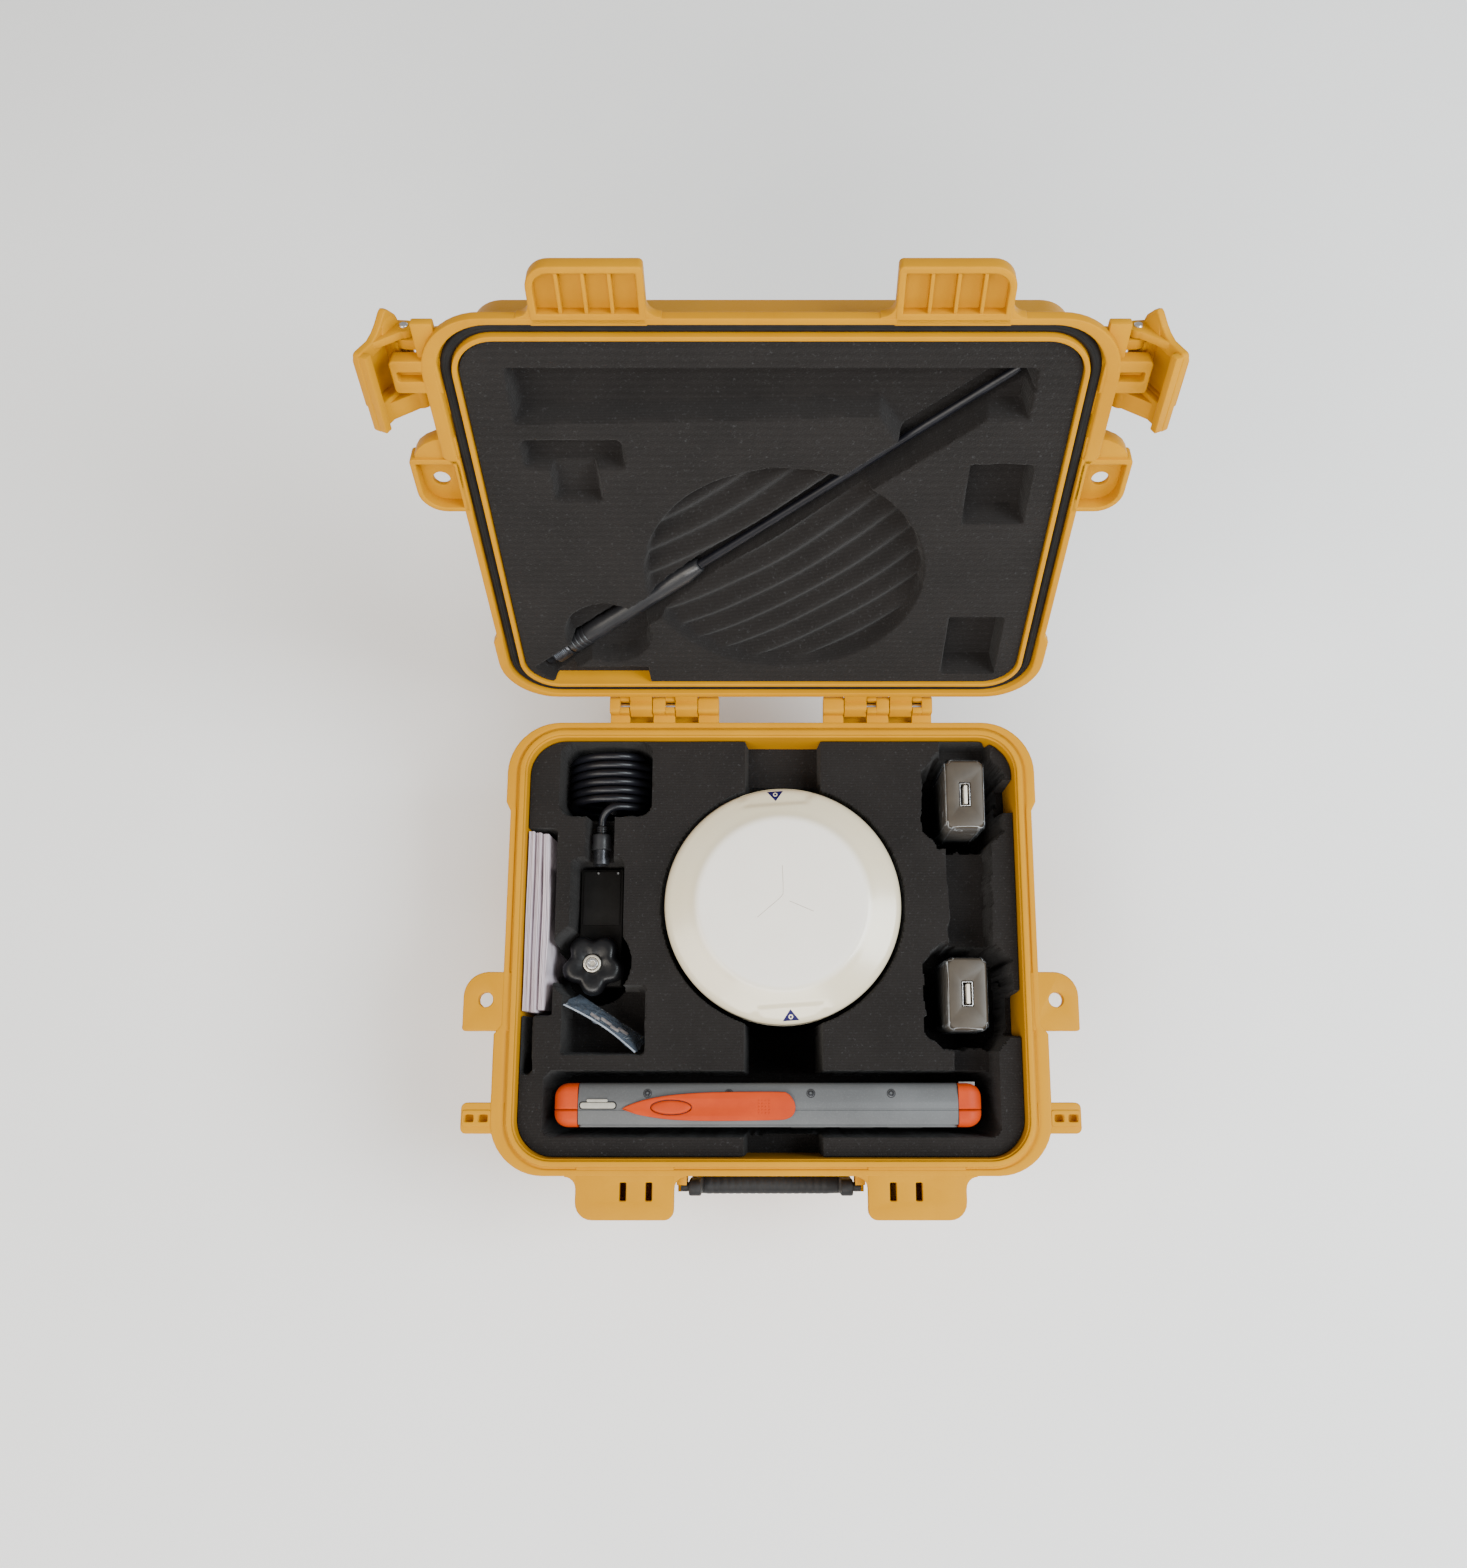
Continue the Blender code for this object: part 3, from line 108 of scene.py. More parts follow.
def make_studio():
    world = bpy.data.worlds.new("studio")
    world.use_nodes = True
    sky = world.node_tree.nodes["Background"].inputs
    sky["Color"].default_value = SKY_COLOUR
    sky["Strength"].default_value = SKY_STRENGTH
    bpy.context.scene.world = world
    for name, (place, target, size, watts, colour) in LAMPS.items():
        data = bpy.data.lights.new(name, "AREA")
        data.shape = "RECTANGLE"
        data.size, data.size_y = size
        data.energy, data.color = watts, colour
        lamp = linked(name, data)
        lamp.location = place
        lamp.rotation_euler = (Vector(target) - Vector(place)).to_track_quat("-Z", "Y").to_euler()
    floor = bpy.data.meshes.new("floor")
    corners = [(sx * FLOOR_REACH, sy * FLOOR_REACH, FLOOR_Z) for sx, sy in ((-1, -1), (1, -1), (1, 1), (-1, 1))]
    floor.from_pydata(corners, [], [(0, 1, 2, 3)])
    floor.materials.append(finish("floor_paper"))
    linked("floor", floor)


# ---- materials ----
FINISHES = {}


class Shader:
    """A node material built round one Principled shader, in object coordinates."""

    def __init__(self, name):
        self.material = FINISHES[name] = bpy.data.materials.new(f"{name}_finish")
        self.material.use_nodes = True
        self.tree = self.material.node_tree
        self.principled = self.tree.nodes["Principled BSDF"]
        self.place = self.tree.nodes.new("ShaderNodeTexCoord").outputs["Object"]

    def node(self, kind, settings=(), **inputs):
        made = self.tree.nodes.new("ShaderNode" + kind)
        for key, value in dict(settings).items():
            setattr(made, key, value)
        for key, value in inputs.items():
            self.plug(value, made.inputs[key.replace("_", " ")])
        return made

    def plug(self, value, socket):
        if isinstance(value, bpy.types.NodeSocket):
            self.tree.links.new(value, socket)
        else:
            socket.default_value = value

    def set(self, **inputs):
        for key, value in inputs.items():
            self.plug(value, self.principled.inputs[key.replace("_", " ")])

    def noise(self, size_mm, detail=3.0, roughness=0.55, place=None):
        made = self.node("TexNoise", Vector=place or self.place, Scale=1000.0 / size_mm, Detail=detail,
                         Roughness=roughness)
        return made.outputs["Fac"]

    def cells(self, size_mm):
        return self.node("TexVoronoi", Vector=self.place, Scale=1000.0 / size_mm).outputs["Distance"]

    def stretched(self, x, y, z):
        return self.node("Mapping", Vector=self.place, Scale=(x, y, z)).outputs["Vector"]

    def ramp(self, value, *stops):
        made = self.node("ValToRGB", Fac=value)
        elements = made.color_ramp.elements
        while len(elements) < len(stops):
            elements.new(0.5)
        for element, (place, colour) in zip(elements, stops):
            element.position = place
            element.color = (*colour, 1)
        return made.outputs["Color"]

    def spread(self, value, low, high, start=0.3, end=0.7):
        made = self.node("MapRange", Value=value, From_Min=start, From_Max=end, To_Min=low, To_Max=high)
        return made.outputs["Result"]

    def math(self, operation, a, b):
        made = self.node("Math", {"operation": operation})
        self.plug(a, made.inputs[0])
        self.plug(b, made.inputs[1])
        return made.outputs["Value"]

    def mix(self, share, a, b):
        made = self.tree.nodes.new("ShaderNodeMix")
        made.data_type = "RGBA"
        for value, socket in zip((share, a, b), (made.inputs[0], made.inputs[6], made.inputs[7])):
            self.plug((*value, 1) if isinstance(value, tuple) else value, socket)
        return made.outputs[2]

    def bump(self, *layers):
        """Layers are (height, depth in micrometres), coarse first."""
        normal = None
        for height, depth_um in layers:
            made = self.node("Bump", Height=height, Distance=depth_um * 1e-6)
            if normal:
                self.tree.links.new(normal, made.inputs["Normal"])
            normal = made.outputs["Normal"]
        self.tree.links.new(normal, self.principled.inputs["Normal"])


# Each plain finish: a dark and a light shade, the size of its blotches in mm, its roughness, its grain's
# size in mm and depth in micrometres; then metallic and gloss, where they are not 0 and 0.5.
PLAIN = {
    "floor_paper": ((0.86, 0.86, 0.86), (0.90, 0.90, 0.90), 300, 0.9, 2.0, 20),
    "seal_rubber": ((0.005, 0.005, 0.005), (0.009, 0.0085, 0.0085), 6, 0.62, 0.6, 25, 0, 0.22),
    "black_plastic": ((0.014, 0.014, 0.016), (0.022, 0.022, 0.024), 12, 0.34, 0.5, 16),
    "grip_rubber": ((0.008, 0.0075, 0.008), (0.014, 0.0135, 0.014), 7, 0.6, 0.6, 45, 0, 0.3),
    "brass": ((0.58, 0.42, 0.17), (0.72, 0.55, 0.26), 3, 0.28, 0.4, 4, 1),
    "aluminium": ((0.60, 0.61, 0.62), (0.72, 0.72, 0.73), 5, 0.36, 0.25, 10, 1),
    "gunmetal": ((0.035, 0.036, 0.042), (0.075, 0.077, 0.085), 3, 0.30, 0.5, 8, 0.8),
    "glossy_black": ((0.004, 0.004, 0.005), (0.007, 0.007, 0.008), 16, 0.34, 1.6, 12, 0, 0.3),
    "matte_black": ((0.005, 0.0045, 0.004), (0.008, 0.007, 0.0065), 9, 0.72, 0.6, 40, 0, 0.2),
    "housing_plastic": ((0.058, 0.062, 0.068), (0.078, 0.083, 0.090), 24, 0.45, 0.5, 22),
    "mark_ink": ((0.006, 0.004, 0.05), (0.011, 0.007, 0.085), 2, 0.5, 0.4, 6, 0, 0.15),
    "crease_shade": ((0.40, 0.33, 0.27), (0.50, 0.42, 0.34), 2, 0.5, 0.4, 6),
    "pale_bar": ((0.30, 0.285, 0.245), (0.38, 0.36, 0.31), 3, 0.4, 0.4, 10),
    "paper_white": ((0.24, 0.225, 0.22), (0.32, 0.30, 0.295), 5, 0.75, 0.4, 12),
    "charger_plastic": ((0.044, 0.034, 0.024), (0.062, 0.049, 0.035), 9, 0.42, 0.5, 8),
    "cream_plastic": ((0.66, 0.60, 0.50), (0.76, 0.70, 0.60), 2, 0.42, 0.3, 8),
    "pale_metal": ((0.50, 0.46, 0.38), (0.66, 0.62, 0.54), 2, 0.38, 0.3, 8, 0.85),
    "circuit_board": ((0.012, 0.10, 0.035), (0.02, 0.17, 0.06), 2, 0.42, 1.2, 60),
    "patch_ceramic": ((0.50, 0.44, 0.34), (0.62, 0.56, 0.44), 6, 0.6, 0.5, 12),
    "screen_glass": ((0.014, 0.015, 0.018), (0.020, 0.021, 0.026), 40, 0.08, 3, 2),
    "spare_parts": ((0.16, 0.10, 0.08), (0.42, 0.36, 0.32), 5, 0.4, 0.5, 20),
    "zip_plastic": ((0.26, 0.29, 0.34), (0.48, 0.51, 0.56), 6, 0.24, 0.8, 60),
    "cable_jacket": ((0.004, 0.004, 0.006), (0.007, 0.0075, 0.011), 10, 0.36, 0.7, 10, 0, 0.34),
}


def plain(s, dark, light, blotch_mm, roughness, grain_mm, grain_um, metallic=0, gloss=0.5):
    """Two close shades in blotches, and a fine grain in the normal and the roughness."""
    blotch = s.noise(blotch_mm, 4)
    grain = s.noise(grain_mm, 2)
    s.set(Base_Color=s.ramp(blotch, (0.3, dark), (0.7, light)), Metallic=metallic, Specular_IOR_Level=gloss,
          Roughness=s.spread(grain, roughness - 0.06, roughness + 0.06))
    s.bump((grain, grain_um))


def case_plastic(s):
    """Yellow moulded polypropylene: fine spark-eroded grain, faint flow marks, a little dirt."""
    flow = s.noise(38, 4, 0.6, s.stretched(1, 0.35, 1))
    grain = s.noise(0.55, 3, 0.7)
    pits = s.cells(1.6)
    colour = s.ramp(flow, (0.30, (0.475, 0.205, 0.0004)), (0.72, (0.525, 0.236, 0.0008)))
    grime = s.spread(s.noise(9, 6, 0.7), 0.0, 0.16, 0.55, 0.78)
    colour = s.mix(grime, colour, (0.36, 0.135, 0.0006))
    s.set(Base_Color=colour, Roughness=s.spread(grain, 0.42, 0.56), Specular_IOR_Level=0.10)
    s.bump((flow, 90), (pits, 14), (grain, 22))


def cut_foam(s):
    """Closed-cell foam, knife-cut: fine cells, pale flecks, and faint ribs from the saw."""
    cells = s.cells(0.9)
    fine = s.noise(0.5, 3, 0.7)
    wide = s.noise(45, 4, 0.6)
    ribs = s.node("TexWave", {"bands_direction": "Y"}, Vector=s.place, Scale=210.0, Distortion=4.0,
                  Detail=4.0, Detail_Scale=6.0).outputs["Fac"]
    colour = s.ramp(wide, (0.25, (0.0092, 0.0080, 0.0076)), (0.75, (0.0150, 0.0131, 0.0125)))
    flecks = s.spread(s.noise(1.7, 5, 0.8), 0.0, 0.6, 0.58, 0.76)
    colour = s.mix(flecks, colour, (0.085, 0.087, 0.092))
    colour = s.mix(s.spread(ribs, 0.0, 0.08, 0.2, 0.9), colour, (0.040, 0.038, 0.038))
    s.set(Base_Color=colour, Roughness=0.95, Sheen_Weight=0.05, Sheen_Roughness=0.5, Specular_IOR_Level=0.14)
    s.bump((wide, 250), (ribs, 50), (cells, 210), (fine, 110))


def steel(s):
    """Drawn steel, with fine lines along x."""
    lines = s.noise(1.4, 4, 0.7, s.stretched(0.06, 1, 1))
    s.set(Base_Color=s.ramp(lines, (0.35, (0.55, 0.55, 0.56)), (0.65, (0.72, 0.71, 0.70))), Metallic=1.0,
          Roughness=s.spread(lines, 0.22, 0.38))
    s.bump((lines, 6))


def radome_plastic(s):
    """Off-white moulded cover, with painted shade: whitest at its crown, and darker and warmer on its shoulder,
    where less light falls.
    """
    offset = s.node("Mapping", Vector=s.place, Location=tuple(-RECEIVER * MM)).outputs["Vector"]
    flat = s.node("VectorMath", {"operation": "MULTIPLY"})
    s.plug(offset, flat.inputs[0])
    flat.inputs[1].default_value = (1, 1, 0)
    radius = s.node("VectorMath", {"operation": "LENGTH"})
    s.plug(flat.outputs[0], radius.inputs[0])
    # painted shade: past the crown's edge the colour turns darker beige, standing in for the shade on the sloping
    # shoulder
    shade = s.ramp(s.math("MULTIPLY", radius.outputs["Value"], 1 / (PAINTED_SHADE_REACH * MM)),
                   (0.64, (0.92, 0.87, 0.79)), (0.70, (0.74, 0.65, 0.46)), (0.90, (0.71, 0.62, 0.43)),
                   (1.0, (0.66, 0.60, 0.44)))
    haze = s.noise(30, 4)
    grain = s.noise(0.5, 2)
    colour = s.mix(s.spread(haze, 0.0, 0.16), shade, (0.74, 0.70, 0.62))
    s.set(Base_Color=colour, Roughness=s.spread(grain, 0.26, 0.34), Coat_Weight=0.7, Coat_Roughness=0.16)
    s.bump((grain, 9))


def orange_rubber(s):
    """Orange overmoulding: satin, faintly mottled, with dust in its grain."""
    blotch = s.noise(14, 4)
    grain = s.noise(0.5, 3)
    colour = s.ramp(blotch, (0.3, (0.40, 0.034, 0.0008)), (0.7, (0.47, 0.046, 0.0016)))
    dust = s.spread(s.noise(2.2, 5, 0.75), 0.0, 0.18, 0.58, 0.8)
    s.set(Base_Color=s.mix(dust, colour, (0.33, 0.040, 0.008)), Roughness=s.spread(grain, 0.48, 0.62),
          Specular_IOR_Level=0.2)
    s.bump((blotch, 60), (grain, 24))


def controller_grey(s):
    """Grey painted magnesium: cool fleck, fine texture and a soft sheen."""
    fleck = s.noise(0.8, 3, 0.8)
    wide = s.noise(30, 3)
    colour = s.ramp(wide, (0.3, (0.078, 0.080, 0.083)), (0.7, (0.098, 0.101, 0.105)))
    colour = s.mix(s.spread(fleck, 0.0, 0.3, 0.5, 0.8), colour, (0.19, 0.195, 0.20))
    s.set(Base_Color=colour, Roughness=s.spread(fleck, 0.42, 0.54), Specular_IOR_Level=0.3)
    s.bump((wide, 40), (fleck, 18))


def page_edges(s):
    """The edges of stacked pages: fine lines along the book, pinkish covers."""
    lines = s.noise(0.55, 4, 0.7, s.stretched(1, 0.01, 0.02))
    bluish_blotch = s.noise(18, 4)
    colour = s.ramp(lines, (0.3, (0.30, 0.23, 0.25)), (0.5, (0.54, 0.46, 0.49)), (0.75, (0.68, 0.61, 0.64)))
    # random bluish blotches over the page edges
    colour = s.mix(s.spread(bluish_blotch, 0.0, 0.30), colour, (0.60, 0.56, 0.68))
    s.set(Base_Color=colour, Roughness=0.72)
    s.bump((lines, 70))


def film(s, alpha_low, alpha_high, tint, highlight_from):
    """Clear film: glossy and crumpled, with painted highlights that make it whiter and more opaque along its
    creases and at its open edge, above the given height.
    """
    ripple = s.noise(7.0, 3, 0.6)
    creases = s.math("ABSOLUTE", s.math("SUBTRACT", s.noise(13.0, 2, 0.5), 0.5), 0.0)
    patches = s.spread(s.noise(9.0, 2), 0.0, 0.7, 0.42, 0.62)
    line = s.math("MULTIPLY", s.spread(creases, 1.0, 0.0, 0.0, 0.016), patches)
    height = s.node("SeparateXYZ", Vector=s.place).outputs["Z"]
    edge = s.spread(height, 0.0, 1.0, highlight_from * MM, (highlight_from + 1.2) * MM)
    # painted highlight: white lines along the creases and a white band at the open edge
    painted_highlight = s.math("MAXIMUM", line, s.math("MULTIPLY", edge, s.spread(ripple, 0.35, 1.0)))
    s.set(Base_Color=s.mix(painted_highlight, tint, (0.86, 0.89, 0.92)), Roughness=s.spread(ripple, 0.06, 0.16), IOR=1.5,
          Specular_IOR_Level=0.8,
          Alpha=s.math("ADD", s.math("MULTIPLY", painted_highlight, alpha_high - alpha_low), alpha_low))
    s.bump((ripple, 300), (creases, 900))


SPECIAL = {build.__name__: (build,) for build in (case_plastic, cut_foam, steel, radome_plastic, orange_rubber,
                                                  controller_grey, page_edges)}
# the height in mm where the film's painted highlight at its open edge begins; the bag's is out of reach
SPECIAL["clear_film"] = (film, 0.09, 0.72, (0.50, 0.55, 0.60), 121.6)
SPECIAL["bag_film"] = (film, 0.36, 0.60, (0.20, 0.25, 0.32), 300.0)


def finish(name):
    """The material of that name, made when it is first asked for."""
    if name not in FINISHES:
        build, *values = SPECIAL.get(name) or (plain, *PLAIN[name])
        build(Shader(name), *values)
    return FINISHES[name]


# ---- solids: every builder returns a bmesh in millimetres ----
def arc(cx, cy, r, start_deg, end_deg, steps):
    points = []
    for i in range(steps + 1):
        a = math.radians(start_deg + (end_deg - start_deg) * i / steps)
        points.append((cx + r * math.cos(a), cy + r * math.sin(a)))
    return points


def rounded_box(x0, x1, y0, y1, r, steps=6):
    """Counter-clockwise rounded rectangle; r is one radius or four, from the x1,y1 corner round."""
    radii = [r] * 4 if isinstance(r, (int, float)) else r
    corners = [(x1, y1, -1, -1, 0), (x0, y1, 1, -1, 90), (x0, y0, 1, 1, 180), (x1, y0, -1, 1, 270)]
    points = []
    for (cx, cy, sx, sy, start), radius in zip(corners, radii):
        if radius <= 0:
            points.append((cx, cy))
        else:
            points += arc(cx + sx * radius, cy + sy * radius, radius, start, start + 90, steps)
    return points


def circle(r, steps, cx=0.0, cy=0.0):
    turn = [2 * math.pi * i / steps for i in range(steps)]
    return [(cx + r * math.cos(a), cy + r * math.sin(a)) for a in turn]


def level(outline, z):
    return [(x, y, z) for x, y in outline]


SIDE_KNOTS = [77.0, 76.0, 74.5, 73.0, 72.0, -44.5, -46.0, -48.0, -49.5]


def side_bulge(y):
    """How much wider the flange is at a side: full in front of the ears and at the rear corners."""
    front = FRONT_BULGE * min(max((-44.5 - y) / 5.0, 0.0), 1.0)
    rear = REAR_BULGE * min(max((y - 72.0) / 5.0, 0.0), 1.0)
    return front + rear


def case_outline(offset, bulge=0.0):
    """The case's opening, grown by offset and then by a share of the flange's bulges."""
    hx, hy = OPEN_HALF_X + offset, OPEN_HALF_Y + offset
    r = max(OPEN_CORNER + offset, 4.0)
    points = arc(hx - r, hy - r, r, 0, 90, 12) + arc(r - hx, hy - r, r, 90, 180, 12)
    points += [(-hx, y) for y in SIDE_KNOTS] + arc(r - hx, r - hy, r, 180, 270, 12)
    points += arc(hx - r, r - hy, r, 270, 360, 12) + [(hx, y) for y in reversed(SIDE_KNOTS)]
    return [(x + math.copysign(bulge * side_bulge(y), x), y) for x, y in points]


def filleted(profile, radius, steps=3):
    """Rounds the corners of an open profile of points of any dimension."""
    points = [Vector(p) for p in profile]
    out = [points[0]]
    for before, here, after in zip(points, points[1:], points[2:]):
        cut_a = min(radius, 0.45 * (before - here).length)
        cut_b = min(radius, 0.45 * (after - here).length)
        a = here + (before - here).normalized() * cut_a
        b = here + (after - here).normalized() * cut_b
        for i in range(steps + 1):
            t = i / steps
            out.append(a * (1 - t) ** 2 + here * 2 * t * (1 - t) + b * t * t)
    return out + [points[-1]]


def loft(loops, closed=False):
    bm = bmesh.new()
    rows = [[bm.verts.new(p) for p in loop] for loop in loops]
    count = len(rows[0])
    pairs = list(zip(rows, rows[1:])) + ([(rows[-1], rows[0])] if closed else [])
    for a, b in pairs:
        for i in range(count):
            j = (i + 1) % count
            bm.faces.new((a[i], a[j], b[j], b[i]))
    if not closed:
        bm.faces.new(rows[0][::-1])
        bm.faces.new(rows[-1])
    bmesh.ops.recalc_face_normals(bm, faces=bm.faces)
    return bm


def turned(profile, steps, axis="Z", centre=(0, 0, 0)):
    """A body of revolution from (radius, height) points; a radius of 0 closes to a point."""
    bm = bmesh.new()
    rows = [[bm.verts.new(p) for p in (level(circle(r, steps), h) if r > 0 else [(0, 0, h)])] for r, h in profile]
    for a, b in zip(rows, rows[1:]):
        for i in range(steps):
            j = (i + 1) % steps
            corners = dict.fromkeys([a[i % len(a)], a[j % len(a)], b[j % len(b)], b[i % len(b)]])
            if len(corners) > 2:
                bm.faces.new(list(corners))
    for row in (rows[0], rows[-1]):
        if len(row) > 2:
            bm.faces.new(row)
    face = {"Z": Matrix.Identity(4), "X": Matrix.Rotation(math.pi / 2, 4, "Y"),
            "Y": Matrix.Rotation(-math.pi / 2, 4, "X")}[axis]
    bmesh.ops.transform(bm, matrix=Matrix.Translation(centre) @ face, verts=bm.verts)
    bmesh.ops.recalc_face_normals(bm, faces=bm.faces)
    return bm


def ring_turned(profile, steps):
    """A body of revolution about z whose profile is a closed loop clear of the axis."""
    return loft([level(circle(r, steps), h) for r, h in profile], closed=True)


def plate(outlines, z0, z1, edge):
    """A flat plate with rounded edges; the first outline is its rim and the rest are holes."""
    curve = bpy.data.curves.new("plate", "CURVE")
    curve.dimensions = "2D"
    curve.fill_mode = "BOTH"
    curve.extrude = 0.5 * (z1 - z0) - edge
    curve.bevel_depth = edge
    curve.bevel_resolution = 2
    curve.offset = -edge
    for outline in outlines:
        line = curve.splines.new("POLY")
        line.points.add(len(outline) - 1)
        for point, (x, y) in zip(line.points, outline):
            point.co = (x, y, 0, 1)
        line.use_cyclic_u = True
    obj = linked("plate", curve)
    bpy.context.view_layer.update()
    bm = bmesh.new()
    bm.from_mesh(obj.evaluated_get(bpy.context.evaluated_depsgraph_get()).to_mesh())
    bpy.data.objects.remove(obj)
    bmesh.ops.remove_doubles(bm, verts=bm.verts, dist=0.001)
    bmesh.ops.translate(bm, vec=(0, 0, 0.5 * (z0 + z1)), verts=bm.verts)
    bmesh.ops.recalc_face_normals(bm, faces=bm.faces)
    return bm


def soft_edges(bm, width, least_deg=40):
    sharp = [e for e in bm.edges if e.is_manifold and e.calc_face_angle(0) > math.radians(least_deg)]
    bmesh.ops.bevel(bm, geom=sharp, offset=width, segments=2, profile=0.5, affect="EDGES", clamp_overlap=True)
    bmesh.ops.recalc_face_normals(bm, faces=bm.faces)
    return bm


def prism(outline, z0, z1, edge=0.0):
    bm = loft([level(outline, z) for z in (z0, z1)])
    return soft_edges(bm, edge) if edge else bm


def block(x0, x1, y0, y1, z0, z1, edge):
    return prism([(x1, y1), (x0, y1), (x0, y0), (x1, y0)], z0, z1, edge)


def along_x(side, x0, x1, edge, least_deg=40):
    """A bar along x from its (y, z) outline."""
    return soft_edges(loft([[(x, y, z) for y, z in side] for x in (x0, x1)]), edge, least_deg)


def along_y(side, y0, y1, edge):
    """A bar along y from its (x, z) outline."""
    return soft_edges(loft([[(x, y, z) for x, z in side] for y in (y0, y1)]), edge)


def moved(bm, matrix):
    bmesh.ops.transform(bm, matrix=matrix, verts=bm.verts)
    if matrix.determinant() < 0:
        bmesh.ops.reverse_faces(bm, faces=bm.faces)
    return bm


def both(build, *args):
    """The right-hand solid and its mirror image."""
    return [build(*args), moved(build(*args), MIRROR)]


def mesh_of(bm, name="scratch"):
    mesh = bpy.data.meshes.new(name)
    bm.to_mesh(mesh)
    bm.free()
    return mesh


def merged(solids):
    """One bmesh of several solids, which may pass through each other."""
    total = bmesh.new()
    for bm in solids:
        scratch = mesh_of(bm)
        total.from_mesh(scratch)
        bpy.data.meshes.remove(scratch)
    return total


def carved(base, joined, removed):
    """A solid with others joined to it and then cut from it, exactly."""
    used = []
    for operation, solids in (("", [base]), ("UNION", joined), ("DIFFERENCE", removed)):
        for solid in solids:
            bmesh.ops.recalc_face_normals(solid, faces=solid.faces)
            used.append(linked("scratch", mesh_of(solid)))
            if operation:
                step = used[0].modifiers.new("step", "BOOLEAN")
                step.operation, step.solver, step.object = operation, "EXACT", used[-1]
    result = bmesh.new()
    result.from_object(used[0], bpy.context.evaluated_depsgraph_get())
    for obj in used:
        mesh = obj.data
        bpy.data.objects.remove(obj)
        bpy.data.meshes.remove(mesh)
    return result


def piece(name, bm, look, body, replaced=(), place=None, smooth_deg=38):
    """Puts a solid in the scene as a piece that rides on a body and stands for CAD nodes."""
    if isinstance(bm, list):
        bm = merged(bm)
    matrix = Matrix.Scale(MM, 4) @ (place or Matrix.Identity(4))
    bmesh.ops.transform(bm, matrix=matrix, verts=bm.verts)
    mesh = mesh_of(bm, name)
    mesh.materials.append(finish(look))
    mesh.shade_smooth()
    mesh.set_sharp_from_angle(angle=math.radians(smooth_deg))
    obj = linked(name, mesh)
    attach(obj, body)
    if replaced:
        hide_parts(*replaced)
    return obj


def dress(look, *nodes):
    """Gives CAD nodes that stay in view a better material."""
    for name in nodes:
        obj = frame["nodes"][name]
        obj.data.materials.clear()
        obj.data.materials.append(finish(look))


# ---- the data cable ----
CABLE_D = 4.4
COIL = Vector((-92.2, 0.0, 87.0))
COIL_R = 22.0
COIL_FRONT_Y, COIL_REAR_Y = 77.2, 107.9
FIRST_ANGLE, LAST_ANGLE = math.radians(73.6), math.radians(-43 - 6 * 360)
INNER_R = 14.0
LEAD = [(-95.0, 66.2, 105.8), (-95.0, 68.4, 106.1), (-94.3, 71.6, 107.0), (-92.4, 74.4, 108.0),
        (-89.4, 76.5, 108.6)]
TAIL = [(-85.6, 107.0, 75.1), (-89.6, 104.8, 74.0), (-91.8, 101.6, 73.7), (-92.2, 98.2, 73.6)]


def cable_route():
    """From the plug in the neck, round the coil towards the hinge, and into the plug inside it."""
    route = [Vector(p) for p in LEAD]
    steps = 140
    for i in range(steps + 1):
        share = i / steps
        a = FIRST_ANGLE + (LAST_ANGLE - FIRST_ANGLE) * share
        inwards = min(max((math.degrees(LAST_ANGLE - a) + 110) / 110, 0), 1)
        r = COIL_R - (COIL_R - INNER_R) * inwards * inwards * (3 - 2 * inwards)
        y = COIL_FRONT_Y + (COIL_REAR_Y - COIL_FRONT_Y) * share
        route.append(COIL + Vector((r * math.cos(a), y, r * math.sin(a))))
    return route + [Vector(p) for p in TAIL]


def smooth_line(knots, per_span):
    """Points on a smooth curve through the knots."""
    ends = [2 * knots[0] - knots[1]] + knots + [2 * knots[-1] - knots[-2]]
    points = []
    for a, b, c, d in zip(ends, ends[1:], ends[2:], ends[3:]):
        for i in range(per_span):
            t = i / per_span
            points.append(0.5 * (2 * b + (c - a) * t + (2 * a - 5 * b + 4 * c - d) * t * t
                                 + (3 * b - a - 3 * c + d) * t * t * t))
    return points + [knots[-1]]


def cable_plug(name, rear, length, replaced):
    """A moulded plug: ribbed strain relief, waisted grip and a metal shell, pointing towards -Y."""
    relief = [(2.5, 0.0), (3.0, 0.4)]
    for i in range(3):
        relief += [(3.1, 0.6 + 1.2 * i), (3.1, 1.1 + 1.2 * i), (2.6, 1.3 + 1.2 * i), (2.6, 1.6 + 1.2 * i)]
    grip = [(3.6, 4.4), (5.2, 5.0), (5.6, 6.0), (5.3, 9.0), (5.6, 12.0), (5.6, 13.2), (5.0, 13.8)]
    flip = Matrix.Translation(rear) @ Matrix.Scale(-1, 4, (0, 1, 0))
    plug = piece(name, moved(turned(relief + grip, 40, "Y"), flip), "black_plastic", "case", replaced)
    shell = [(4.6, 13.9), (4.6, length - 0.4), (4.2, length), (3.7, length), (3.7, 15.5), (0, 15.5)]
    metal = piece(name + "_shell", moved(turned(shell, 40, "Y"), flip), "gunmetal", "case")
    return [plug, metal]


